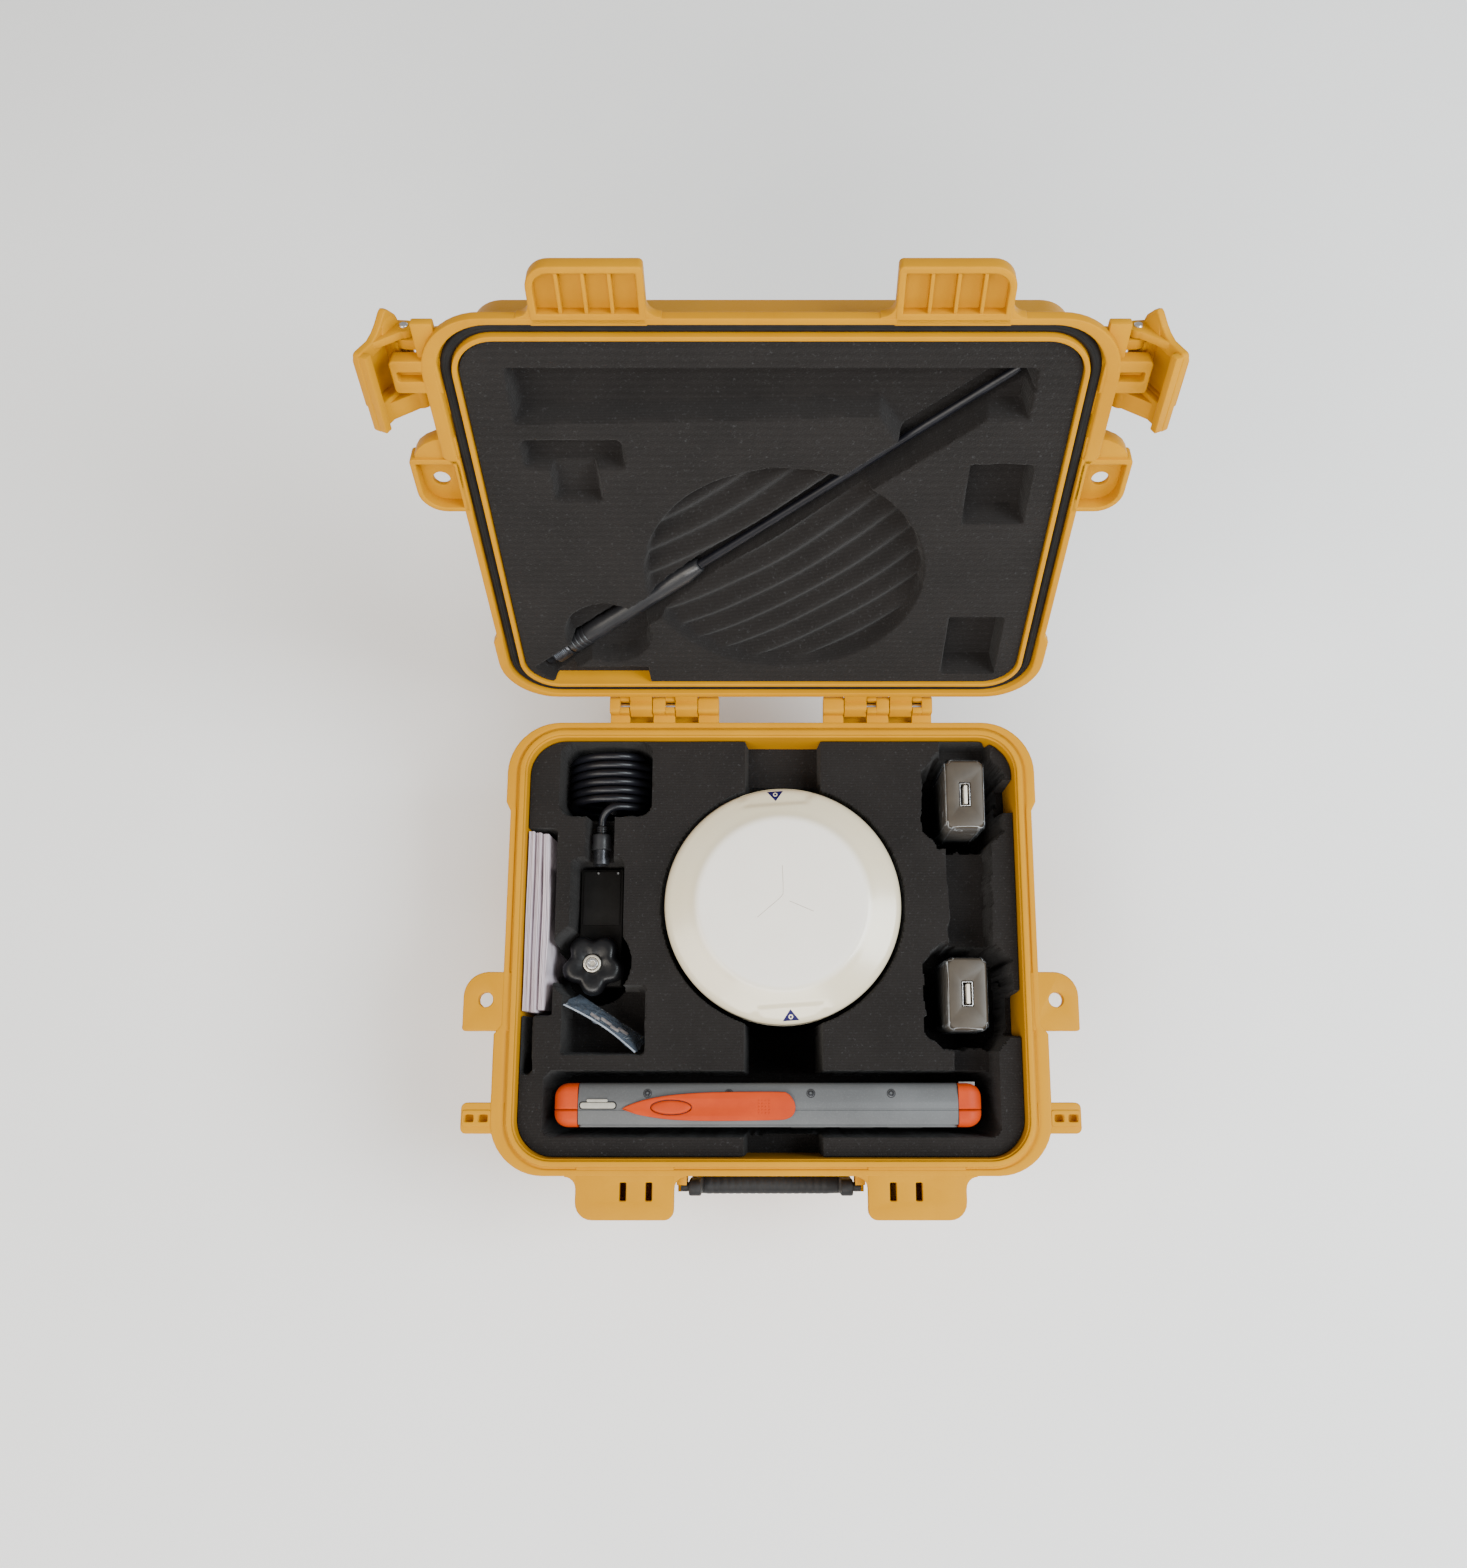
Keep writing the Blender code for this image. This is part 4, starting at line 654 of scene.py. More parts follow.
def make_cable():
    plugs = cable_plug("cable_plug_front", Vector((-95.0, 66.0, 105.7)), 22.0, ["cable_plug_a"])
    plugs += cable_plug("cable_plug_inner", Vector((-92.2, 98.0, 73.6)), 20.0, ["cable_plug_b"])
    route = smooth_line(cable_route(), 2)
    curve = bpy.data.curves.new("data_cable", "CURVE")
    curve.dimensions = "3D"
    curve.bevel_depth = 0.5 * CABLE_D * MM
    curve.bevel_resolution = 4
    curve.use_fill_caps = True
    line = curve.splines.new("POLY")
    line.points.add(len(route) - 1)
    for place, point in zip(line.points, route):
        place.co = (*(point * MM), 1.0)
    curve.materials.append(finish("cable_jacket"))
    cable = linked("data_cable", curve)
    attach(cable, "case")
    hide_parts("cable_coil", "cable_lead", "cable_tail")


# ---- foam ----
LATTICE = 64


def lattice_noise(x, y, size, seed):
    """Smooth noise from -1 to 1 with features of about that size."""
    table = np.random.default_rng(seed).uniform(-1, 1, (LATTICE, LATTICE))
    u, v = x / size, y / size
    iu, iv = np.floor(u).astype(int), np.floor(v).astype(int)
    fu, fv = u - iu, v - iv
    fu, fv = fu * fu * (3 - 2 * fu), fv * fv * (3 - 2 * fv)

    def corner(du, dv):
        return table[(iu + du) % LATTICE, (iv + dv) % LATTICE]

    low = corner(0, 0) * (1 - fu) + corner(1, 0) * fu
    high = corner(0, 1) * (1 - fu) + corner(1, 1) * fu
    return low * (1 - fv) + high * fv


def inside_box(x, y, x0, x1, y0, y1, r=0.0):
    """Signed distance to a rounded rectangle, below 0 inside."""
    qx = np.abs(x - 0.5 * (x0 + x1)) - 0.5 * (x1 - x0) + r
    qy = np.abs(y - 0.5 * (y0 + y1)) - 0.5 * (y1 - y0) + r
    outside = np.hypot(np.maximum(qx, 0), np.maximum(qy, 0))
    return outside + np.minimum(np.maximum(qx, qy), 0) - r


def inside_disc(x, y, cx, cy, r):
    return np.hypot(x - cx, y - cy) - r


def inside_polygon(x, y, corners):
    """Signed distance to a polygon, below 0 inside."""
    nearest = np.full(x.shape, 1e9)
    inside = np.zeros(x.shape, bool)
    for (ax, ay), (bx, by) in zip(corners, corners[1:] + corners[:1]):
        ex, ey = bx - ax, by - ay
        t = np.clip(((x - ax) * ex + (y - ay) * ey) / (ex * ex + ey * ey), 0, 1)
        nearest = np.minimum(nearest, np.hypot(x - ax - t * ex, y - ay - t * ey))
        if ey:
            crosses = ((ay > y) != (by > y)) & (x < (y - ay) / ey * ex + ax)
            inside ^= crosses
    return np.where(inside, -nearest, nearest)


def ramp_down(distance, width):
    """0 outside a pocket's edge and 1 within it, with a soft lip."""
    t = np.clip(0.5 - distance / width, 0, 1)
    return t * t * (3 - 2 * t)


FOAM_REACH = (137, 115)


def foam_block(name, step, face_at, back_z, taper, outline, body, node, place=None):
    """A block of cut foam: face_at gives its face's height, outline its rim's signed distance, and taper
    how much narrower its back is, all round."""
    x, y = np.meshgrid(np.arange(-FOAM_REACH[0], FOAM_REACH[0] + step, step),
                       np.arange(-FOAM_REACH[1], FOAM_REACH[1] + step, step), indexing="ij")
    d = outline(x, y)

    def outward(x, y, grow=0.02):
        return ((outline(x + grow, y) - outline(x - grow, y)) / (2 * grow),
                (outline(x, y + grow) - outline(x, y - grow)) / (2 * grow))

    gx, gy = outward(x, y)
    onto_rim = np.where(d > -0.45 * step, d, 0)
    x, y = x - gx * onto_rim, y - gy * onto_rim
    z = face_at(x, y)
    keep = d < 0.72 * step
    whole = keep[:-1, :-1] & keep[1:, :-1] & keep[1:, 1:] & keep[:-1, 1:]
    index = np.arange(x.size).reshape(x.shape)
    quads = np.stack([index[:-1, :-1], index[1:, :-1], index[1:, 1:], index[:-1, 1:]], -1)[whole]
    used, compact = np.unique(quads, return_inverse=True)
    points = np.stack([x.ravel(), y.ravel(), z.ravel()], -1)[used]
    mesh = bpy.data.meshes.new(name)
    mesh.from_pydata(points.tolist(), [], compact.reshape(quads.shape).tolist())
    bm = bmesh.new()
    bm.from_mesh(mesh)
    bpy.data.meshes.remove(mesh)
    rim = [e for e in bm.edges if e.is_boundary]
    skirt = bmesh.ops.extrude_edge_only(bm, edges=rim)["geom"]
    for vert in (g for g in skirt if isinstance(g, bmesh.types.BMVert)):
        gx, gy = outward(vert.co.x, vert.co.y)
        vert.co = (vert.co.x - taper * float(gx), vert.co.y - taper * float(gy), back_z)
    bmesh.ops.holes_fill(bm, edges=[e for e in bm.edges if e.is_boundary], sides=0)
    bmesh.ops.recalc_face_normals(bm, faces=bm.faces)
    foam = piece(name, bm, "cut_foam", body, [node], place, smooth_deg=62)


def cut_corners(cx, cy, hx, hy, k):
    """A rectangle with its corners cut off, as a charger's pocket is."""
    return [(cx + hx, cy + hy - k), (cx + hx - k, cy + hy), (cx - hx + k, cy + hy), (cx - hx, cy + hy - k),
            (cx - hx, cy - hy + k), (cx - hx + k, cy - hy), (cx + hx - k, cy - hy), (cx + hx, cy - hy + k)]


# Each pocket: its box as x, x, y, y and corner radius; its floor; its lip's width and how ragged it is.
BASE_POCKETS = [
    ((-13.8, 27.0, 60, 89, 1), 36, 1.6, 0.25), ((-13.8, 27.0, 80, 125, 1), 99, 1.6, 0.25),
    ((-13.8, 27.0, -72, -30, 1), 36, 1.6, 0.25), ((-13.8, 27.0, -125, -95, 1), 88, 1.6, 0.25),
    ((-120.4, 120.9, -102.0, -69.2, 5), 34.9, 1.9, 0.4), ((-117.2, -67.4, 71, 111.6, 7), 61, 1.9, 0.4),
    ((-102.2, -87.8, 30, 76, 0), 99.4, 1.9, 0.4), ((-109.2, -81.8, -8, 45.8, 3), 55, 1.9, 0.4),
    ((-112.2, -68.8, -59.2, -24, 2), 84, 1.9, 0.4), ((-152, -119.3, -38.8, 62.5, 1.5), 44, 1.6, 0.3),
    ((-133.4, -129.0, -69.5, -30, 1.5), 84, 1.6, 0.3), ((99, 121, -80, -50, 0), 96, 2.0, 0.6),
    ((95.4, 122, 98, 111.8, 0), 100, 2.0, 0.5), ((127.5, 152, 73, 90, 0), 90, 1.6, 0.3),
    ((127.5, 152, -50, -27, 0), 90, 1.6, 0.3),
]
LID_POCKETS = [
    ((-111.5, -67.5, -57, -42.0, 3), 133.6, 2.6, 0.5), ((-100, -79.5, -44, -22, 2), 130.6, 2.4, 0.5),
    ((91.5, 119.5, -43, -8, 1), 137.4, 1.8, 0.3), ((93, 120.5, 59.5, 103.0, 1), 137.4, 1.8, 0.3),
    ((-118, -66.5, 99.0, 135, 0), 131.4, 1.8, 0.3),
]
CHARGER_POCKETS = ((106.6, 79.0, 22.0, 26.0), (106.8, -29.0, 23.0, 27.7))


def base_face(x, y):
    """Height of the base foam's face, pocket by pocket."""
    ragged = 0.45 * lattice_noise(x, y, 6.5, 3) + 0.25 * lattice_noise(x, y, 2.2, 4)
    face = BASE_FOAM_TOP - 0.25 + 0.22 * lattice_noise(x, y, 28, 5)
    uneven = 0.35 * lattice_noise(x, y, 9, 6)

    def dig(distance, floor, width, rough):
        nonlocal face
        share = ramp_down(distance + rough * ragged, width)
        face = np.minimum(face, BASE_FOAM_TOP * (1 - share) + (floor + uneven) * share)

    for box, *cut in BASE_POCKETS:
        dig(inside_box(x, y, *box), *cut)
    dig(inside_disc(x, y, RECEIVER.x, RECEIVER.y, 66.5), 16.8, 1.6, 0.25)
    dig(inside_disc(x, y, KNOB.x, KNOB.y, 21.7), 55, 1.9, 0.5)
    notch = 0.9 * np.sign(lattice_noise(x, y, 7.0, 11)) * np.abs(lattice_noise(x, y, 5.0, 12)) ** 0.5
    for cx, cy, hx, hy in CHARGER_POCKETS:
        dig(inside_polygon(x, y, cut_corners(cx, cy, hx, hy, 9.0)) + notch, 60, 1.9, 0.8)
    dig(inside_box(x, y, 98, 120.6, -6, 60) + 0.8 * lattice_noise(x, y, 8, 13), 96, 2.2, 1.0)
    return face


WHIP_TIP, WHIP_END = Vector((108.0, -90.0, 134.5)), Vector((-121.5, 103.0, 134.5))
CONTROLLER_RECESS = [(-112, -95.5), (112, -95.5), (112, -71), (82, -71), (61, -52), (48, -72.5), (-112, -68)]


def lid_face(x, y):
    """Height of the lid foam's face, which is shut: deeper pockets reach higher."""
    ragged = 0.4 * lattice_noise(x, y, 7, 21) + 0.2 * lattice_noise(x, y, 2.4, 22)
    face = LID_FOAM_FACE + 0.1 + 0.12 * lattice_noise(x, y, 26, 23)

    def dig(distance, floor, width, rough):
        nonlocal face
        share = ramp_down(distance + rough * ragged, width)
        face = np.maximum(face, LID_FOAM_FACE * (1 - share) + floor * share)

    for box, *cut in LID_POCKETS:
        dig(inside_box(x, y, *box), *cut)
    dig(inside_polygon(x, y, CONTROLLER_RECESS), 136.4, 3.4, 0.4)
    dig(inside_disc(x, y, -85.5, 71.5, 21.8), 135.4, 2.0, 0.8)
    along = 0.530 * x + 0.848 * y
    bend = 0.0016 * (0.848 * x - 0.530 * y + 40) ** 2
    waves = 130.8 + 1.9 * np.cos((along + bend) * 2 * math.pi / 13.6 + 0.35 * lattice_noise(x, y, 30, 24))
    dig(inside_disc(x, y, RECEIVER.x, RECEIVER.y + 7.5, 68.6), waves, 3.0, 0.5)
    run = (WHIP_TIP - WHIP_END).normalized()
    sideways = np.abs((x - WHIP_END.x) * run.y - (y - WHIP_END.y) * run.x) - 6.4
    beyond = (x - WHIP_END.x) * run.x + (y - WHIP_END.y) * run.y
    ends = np.maximum(-beyond - 1.2, beyond - (WHIP_TIP - WHIP_END).length - 1.2)
    dig(np.maximum(sideways, ends), 140.4, 2.2, 0.4)
    return face


def make_foam():
    def base_rim(x, y):
        return inside_box(x, y, -134.3, 134.3, -112.7, 112.7, 19.2)

    def lid_rim(x, y):
        return inside_box(x, y, -132.1, 132.1, -110.5, 110.5, 17.0)

    step = 0.85
    foam_block("base_foam_cut", step, base_face, 16.7, 2.6, base_rim, "case", "base_foam")
    foam_block("lid_foam_cut", step, lid_face, 153.0, 2.3, lid_rim, "lid", "lid_foam", LID)
    dress("cut_foam", "foam_floor_pad")


# ---- the case's shells ----
EAR_X, EAR_Y, EAR_HOLE_R = 153.0, -31.3, 3.9
LATCH_AXIS = Vector((154.0, 0.0, 134.5))
LID_KNUCKLES = ((-78.7, -66.3), (-53.4, -41.0))
BASE_KNUCKLES = ((-90.0, -79.0), (-66.0, -53.7), (-40.7, -29.2))


def lofted_wall(rows, radius):
    """A wall that follows the case's outline through (offset, z, share of the flange's bulge) rows."""
    return loft([level(case_outline(off, bulge), z) for off, z, bulge in filleted(rows, radius)])


def tub_wall():
    return lofted_wall([(-7, 2, 0), (-3, 5, 0), (3.0, 110, 0), (4.2, 111.4, 0), (8.8, 112, 1), (8.8, RIM_Z, 1),
                        (5.7, RIM_Z, 0.35), (5.5, 121, 0), (4.3, 121, 0), (4.1, 124.0, 0), (1.2, 124.0, 0),
                        (1.0, RIM_Z, 0), (0.1, RIM_Z, 0), (-0.5, 110, 0), (-4.6, 5, 0)], 0.7)


EAR_HOLE = circle(EAR_HOLE_R, 28, EAR_X, EAR_Y)
CATCH_SLOTS_X, PLATE_SLOTS_X = (151.6, 159.0), (63.7, 77.2)
PLATE_ENDS_X, PAD_ENDS_X = (50.5, 102.0), (50.6, 98.2)


def base_ear():
    """A padlock ear and its gusset."""
    rim = rounded_box(138.8, 165.0, -47.8, -16.5, [13, 0, 0, 1.5], 8)
    gusset = along_y([(136.5, 92), (138.5, 92), (160, 116), (136.5, 116)], -46, -43, 0.4)
    return merged([plate([rim, EAR_HOLE], 115.5, RIM_Z - 0.25, 0.7), gusset])


def catch_block():
    """The latch's catch: a block with two slots, the raised frame round them, and their floor."""
    rim = rounded_box(140.6, 163.5, -101.0, -85.0, [3, 0, 0, 3], 5)
    slots = [rounded_box(x - 2.2, x + 2.2, -94.8, -91.2, 0.9, 3) for x in CATCH_SLOTS_X]
    frame_rim = rounded_box(147.6, 162.6, -97.2, -88.9, 1.2, 3)
    frame_slots = [rounded_box(x - 2.6, x + 2.6, -95.0, -91.0, 0.9, 3) for x in CATCH_SLOTS_X]
    return merged([plate([rim] + slots, 114.0, RIM_Z - 0.5, 0.6),
                   plate([frame_rim] + frame_slots, 120.5, RIM_Z + 0.2, 0.3),
                   block(147.8, 162.4, -96.8, -89.4, 115.0, 117.6, 0.3)])


def front_plate():
    """A bumper plate with two slots, and the deep socket that shows through them."""
    rim = rounded_box(*PLATE_ENDS_X, -144.5, -117.2, [0, 0, 5, 9], 6)
    slots = [rounded_box(x - 1.7, x + 1.7, -134.8, -125.6, 0.5, 2) for x in PLATE_SLOTS_X]
    walls = plate([rounded_box(59.8, 81.2, -137.0, -118.0, 1.5, 4),
                   rounded_box(61.4, 79.6, -135.4, -119.6, 1.0, 4)], 99.4, 116.9, 0.4)
    return merged([plate([rim] + slots, 116.5, RIM_Z - 0.25, 0.7), walls,
                   block(60.2, 80.8, -136.6, -118.4, 98.0, 101.0, 0.4)])


def flare(x, side, z0, z1):
    """The fillet where a tab's side runs into the rim."""
    reach, y0, y1 = 6.0, -119.6, -122.8
    corner = [(x + side * reach * (1 - math.sin(a)), y1 - reach * (1 - math.cos(a)))
              for a in (math.radians(15 * i) for i in range(7))]
    outline = [(x - side * 2, y0), (x + side * (reach + 1), y0)] + corner + [(x - side * 2, y1 - reach)]
    return prism(outline if side < 0 else outline[::-1], z0, z1, 0.3)


def plate_web(x):
    rows = [[(x - 1.5, low, z), (x + 1.5, low, z), (x + 1.5, top, 117), (x - 1.5, top, 117)]
            for low, top, z in ((-111.7, -115.0, 40.0), (-116.5, -120.0, 44.0), (-143.0, -143.0, 96.0))]
    return soft_edges(loft(rows), 0.4)


def handle_lug():
    return along_x([(-114.6, 98.0), (-128.5, 102.0), *arc(-128.5, 109.0, 6.0, 240, 440, 12), (-114.6, 115.0)],
                   44.3, 49.6, 0.5)


KNUCKLE_HALF, WINDOW = 4.9, 5.2
INNERMOST_X = 40.0


def barrel(low, high):
    """A squared hinge knuckle with rounded corners."""
    return along_x(rounded_box(HINGE_Y - KNUCKLE_HALF, HINGE_Y + KNUCKLE_HALF, HINGE_Z - KNUCKLE_HALF,
                               HINGE_Z + KNUCKLE_HALF, 2.4, 4), low, high, 0.4, 60)


def pin_window(low, high):
    """A stretch of knuckle that is open above the pin."""
    h = KNUCKLE_HALF
    side = [(-h, -h), (h, -h), (h, 4.7), (2.1, 4.7), (2.1, -2.2), (-1.7, -2.2), (-1.7, 4.7), (-h, 4.7)]
    return along_x([(HINGE_Y + y, HINGE_Z + z) for y, z in side], low, high, 0.3, 60)


def base_knuckle(low, high):
    """A knuckle of the base, with a window over the pin beside the lid's knuckle."""
    web = block(low, high, 119.6, HINGE_Y - 1.9, 116.6, HINGE_Z - 1.1, 0.5)
    if abs(low + high) < 2 * INNERMOST_X:
        return [web, barrel(low, high)]
    if low < 0:
        return [web, barrel(low, high - WINDOW), pin_window(high - WINDOW - 0.05, high)]
    return [web, barrel(low + WINDOW, high), pin_window(low, low + WINDOW + 0.05)]


def hinge_shelf():
    """The shelf under the knuckles, clear of the lid's as they turn."""
    return block(29.4, 89.8, 119.0, 134.0, 111.5, 115.3, 0.8)


def foot(x, y):
    return prism(rounded_box(x - 14, x + 14, y - 9, y + 9, 5, 5), 0, 3.5, 0.6)


def knuckles(build, spans):
    """The knuckles of both hinges, from the left one's spans."""
    solids = []
    for low, high in spans:
        solids += build(low, high) + build(-high, -low)
    return solids


def flares(ends, z0, z1):
    return [solid for x, side in zip(ends, (-1, 1)) for solid in both(flare, x, side, z0, z1)]


def make_base_shell():
    solids = [tub_wall()] + flares(PLATE_ENDS_X, 116.8, 121.6) + knuckles(base_knuckle, BASE_KNUCKLES)
    for build in (base_ear, catch_block, front_plate, handle_lug, hinge_shelf):
        solids += both(build)
    for x in (58.0, 94.0):
        solids += both(plate_web, x)
    solids += [foot(x, y) for x, y in ((-104, -84), (-104, 84), (104, -84), (104, 84), (0, 0))]
    piece("base_shell_moulded", solids, "case_plastic", "case", ["base_shell"])
    dress("steel", "hinge_pin_left", "hinge_pin_right")


def lid_wall():
    return lofted_wall([(-30, 156.6, 0), (-27, 158, 0), (-11, 158, 0), (-5.0, 155, 0), (-0.8, 130.4, 0),
                        (2.6, 129.0, 0), (7.2, 128.6, 1), (8.8, 127.2, 1), (8.8, LID_RIM_Z, 1),
                        (5.7, LID_RIM_Z, 0.2), (5.5, 126.8, 0), (0.1, 126.8, 0), (0.0, LID_RIM_Z, 0),
                        (-2.3, LID_RIM_Z, 0), (-2.4, 124.5, 0), (-6.2, 153.6, 0)], 0.6)


def lid_pad():
    """A bumper box: a rim, a floor and three ribs."""
    rim = rounded_box(50.6, 98.2, -146.0, -118.8, [0, 0, 2, 10], 8)
    well = rounded_box(53.6, 95.2, -142.8, -124.4, [0, 0, 0.5, 7], 6)
    walls = plate([rim, well], LID_RIM_Z, 129.0, 0.7)
    floor = prism(rounded_box(51.6, 97.2, -145.0, -120.0, [0, 0, 2, 9], 6), 127.0, 128.9)
    ribs = [block(x - 0.75, x + 0.75, -143.6, -123.8, 122.9, 127.6, 0.25) for x in (64.2, 74.8, 85.4)]
    return merged([walls, floor] + ribs)


def lid_ear():
    """A padlock ear: a pocket with a raised wall and a hole, and the shoulder that runs to the rim."""
    rim = rounded_box(140.6, 164.0, -48.0, -16.5, [12, 0, 0, 2], 8)
    well = rounded_box(143.2, 161.4, -45.2, -19.0, [9.5, 0.4, 0.4, 0.8], 6)
    walls = plate([rim, well], LID_RIM_Z, 131.5, 0.6)
    floor = plate([rounded_box(141.0, 163.0, -47.0, -17.5, [11, 0, 0, 1], 6), EAR_HOLE], 128.7, 131.3, 0.5)
    curve = [(140.6 + 21.0 * math.cos(a), -47.0 - 13.0 * math.sin(a))
             for a in (math.radians(15 * i) for i in range(7))]
    return merged([walls, floor, prism([(140.6, -47.0)] + curve, LID_RIM_Z + 1.2, 131.0, 0.5)])


def latch_lugs():
    side = [(132.0, 128.5), *arc(LATCH_AXIS.x, LATCH_AXIS.z, 4.2, -90, 90, 10), (132.0, LATCH_AXIS.z + 7.0)]
    return merged([along_y(side, y0, y1, 0.4) for y0, y1 in ((-106.2, -101.4), (-84.6, -79.8))])


def latch_box():
    """The boss that meets the catch, with its moulded-in slot, and the shelf up to the lever."""
    rim = rounded_box(140.6, 161.0, -101.2, -84.8, [2, 0, 0, 2], 4)
    slot_hole = rounded_box(145.6, 158.6, -95.6, -90.8, 0.9, 3)
    return merged([plate([rim, slot_hole], LID_RIM_Z + 0.2, 129.5, 0.6),
                   block(143.6, 160.0, -99.0, -88.0, 127.4, 129.2, 0.3),
                   block(139.6, 149.0, -117.5, -71.0, 125.6, 130.0, 0.8)])


def lid_knuckle(low, high):
    return [block(low, high, 119.7, HINGE_Y - 0.5, LID_RIM_Z + 0.1, 127.6, 0.5), barrel(low, high)]


def make_lid_shell():
    solids = [lid_wall()] + flares(PAD_ENDS_X, LID_RIM_Z + 0.3, 127.6) + knuckles(lid_knuckle, LID_KNUCKLES)
    for build in (lid_pad, lid_ear, latch_lugs, latch_box):
        solids += both(build)
    piece("lid_shell_moulded", solids, "case_plastic", "lid", ["lid_shell"], LID)


def make_gasket():
    """The hollow bulb seal in the lid's groove, with a fine parting groove along it."""
    profile = [(0.5, 126.6), (0.45, 125.3), (1.0, 124.5), (2.3, 124.12), (2.75, 124.4), (3.2, 124.12),
               (4.6, 124.5), (5.2, 125.3), (5.15, 126.6)]
    rows = filleted(profile, 0.4, 2)
    ring = loft([level(case_outline(off), z) for off, z in rows], closed=True)
    piece("lid_gasket_bulb", ring, "seal_rubber", "lid", ["lid_gasket"], LID)


# ---- latches, handle and whip ----
PIVOT = Vector((0.0, -128.5, 109.0))
GRIP_AXIS = (0, -129.0, 77.0)


def latch_lever():
    """The right lever, locked: a windowed plate with a pointed lift tab, two cheeks and its hook."""
    rim = rounded_box(-110.6, -70.0, 109.2, 137.0, [2.2, 0, 2.2, 2.2], 4)
    at = rim.index((-110.6, 137.0))
    rim[at:at + 1] = [(-110.6, 137.0), (-113.2, 136.2), (-117.6, 132.8), (-118.4, 131.4), (-117.9, 129.9),
                      (-114.2, 125.8), (-112.0, 122.6), (-110.6, 119.0)]
    window = rounded_box(-104.6, -81.4, 113.2, 130.6, 1.6, 4)
    blister = rounded_box(-106.2, -79.8, 111.4, 132.2, 2.4, 5)
    plates = (([rim, window], 158.6, 162.0, 0.7), ([blister, window], 161.4, 164.3, 0.5),
              ([blister], 163.75, 165.0, 0.5))
    solids = [moved(plate(*layer), FACING_X) for layer in plates]
    cheek = [(160.2, 116.0), *arc(LATCH_AXIS.x, LATCH_AXIS.z, 4.2, 250, 90, 12), (160.2, 136.2)]
    solids += [along_y(cheek, y0, y1, 0.4) for y0, y1 in ((-110.4, -106.8), (-79.2, -70.4))]
    solids += [block(155.2, 160.0, -109.8, -71.0, 109.5, 113.2, 0.5),
               block(156.4, 159.4, -103.5, -82.5, 130.7, 136.4, 0.4)]
    rows = [[(157.6, -110, 124.8), (161.0, -110, 124.8), (161.0, -110, 136.3), (157.6, -110, 136.3)],
            [(159.2, -117.4, 129.8), (161.0, -117.4, 129.8), (161.0, -117.4, 132.4), (159.2, -117.4, 132.4)]]
    return merged(solids + [soft_edges(loft(rows), 0.4)])


def make_latches():
    for side, sign in (("right", 1), ("left", -1)):
        axis = (sign * LATCH_AXIS.x, 0, LATCH_AXIS.z)
        lever = latch_lever() if sign > 0 else moved(latch_lever(), MIRROR)
        piece(f"latch_{side}_cam_lever", lever, "case_plastic", f"latch_{side}", [f"latch_{side}_lever"],
              LID @ about(axis, -sign * LATCH_ANGLE, "Y"))
        rod = [(0, -111.2), (1.5, -111.2), (1.9, -110.8), (1.9, -70.2), (1.5, -69.8), (0, -69.8)]
        piece(f"latch_{side}_rod", turned(rod, 28, "Y", axis), "steel", "lid", [f"latch_{side}_pin"], LID)


def make_handle():
    """The folded handle: two arms and a grip with moulded finger ribs."""
    profile = [(0.0, -43.4), (4.6, -43.4), (5.2, -42.6)]
    for i in range(17):
        x = -34.0 + 4.0 * i
        profile += [(5.5, x - 1.5), (5.65, x - 1.1), (5.65, x + 1.1), (5.5, x + 1.5)]
    profile += [(5.2, 42.6), (4.6, 43.4), (0.0, 43.4)]
    solids = [turned(profile, 40, "X", GRIP_AXIS)]
    arm = rounded_box(-133.2, -124.8, 76.0, 113.2, 4.0, 8)
    solids += [along_x(arm, x0, x1, 0.8) for x0, x1 in ((37.0, 43.4), (-43.4, -37.0))]
    solids += [turned([(0, x0), (2.4, x0), (2.4, x1), (0, x1)], 24, "X", PIVOT)
               for x0, x1 in ((40.0, 47.6), (-47.6, -40.0))]
    piece("handle_grip", solids, "grip_rubber", "handle", ["handle"])


def make_whip():
    """The whip, along z from its plugged end: a tapering rod, a ribbed sleeve and a knurled nut."""
    along = WHIP_TIP - WHIP_END
    length = along.length
    place = LID @ Matrix.Translation(WHIP_END) @ along.to_track_quat("Z", "Y").to_matrix().to_4x4()
    rod = [(0, 112.2), (2.3, 112.4), (2.25, 120), (1.9, length - 4), (1.6, length - 0.6), (0.8, length),
           (0, length)]
    sleeve = [(0, 18.3), (4.6, 18.3), (5.4, 19.4)]
    for z in (22.0, 25.0, 28.0, 31.0):
        sleeve += [(5.4, z), (5.0, z + 0.4), (5.0, z + 1.1), (5.4, z + 1.5)]
    sleeve += [(5.4, 44), (4.9, 46), (4.9, 103), (4.5, 104.5), (3.5, 111.4), (3.0, 112), (0, 112)]
    nut = [(0, 0), (3.2, 0), (4.0, 0.6), (4.0, 5.6), (4.6, 6.4), (5.6, 6.8)]
    for i in range(8):
        z = 7.6 + 1.1 * i
        nut += [(5.6, z), (5.35, z + 0.25), (5.35, z + 0.6), (5.6, z + 0.85)]
    nut += [(5.6, 17.0), (5.0, 17.9), (0, 17.9)]
    for name, profile, steps, look, node, slot in (
            ("whip_rod_tapered", rod, 28, "cable_jacket", "whip_rod", "whip"),
            ("whip_sleeve_moulded", sleeve, 40, "black_plastic", "whip_sleeve", "grip"),
            ("whip_connector_nut", nut, 48, "gunmetal", "whip_connector", "brass")):
        piece(name, turned(profile, steps), look, "whip", [node], place)


# ---- the receiver ----
AT_RECEIVER = Matrix.Translation(RECEIVER)
COVER_R = 64.8
MARK_TURN = math.radians(3.9)


def smooth(t):
    t = min(max(t, 0.0), 1.0)
    return t * t * (3 - 2 * t)


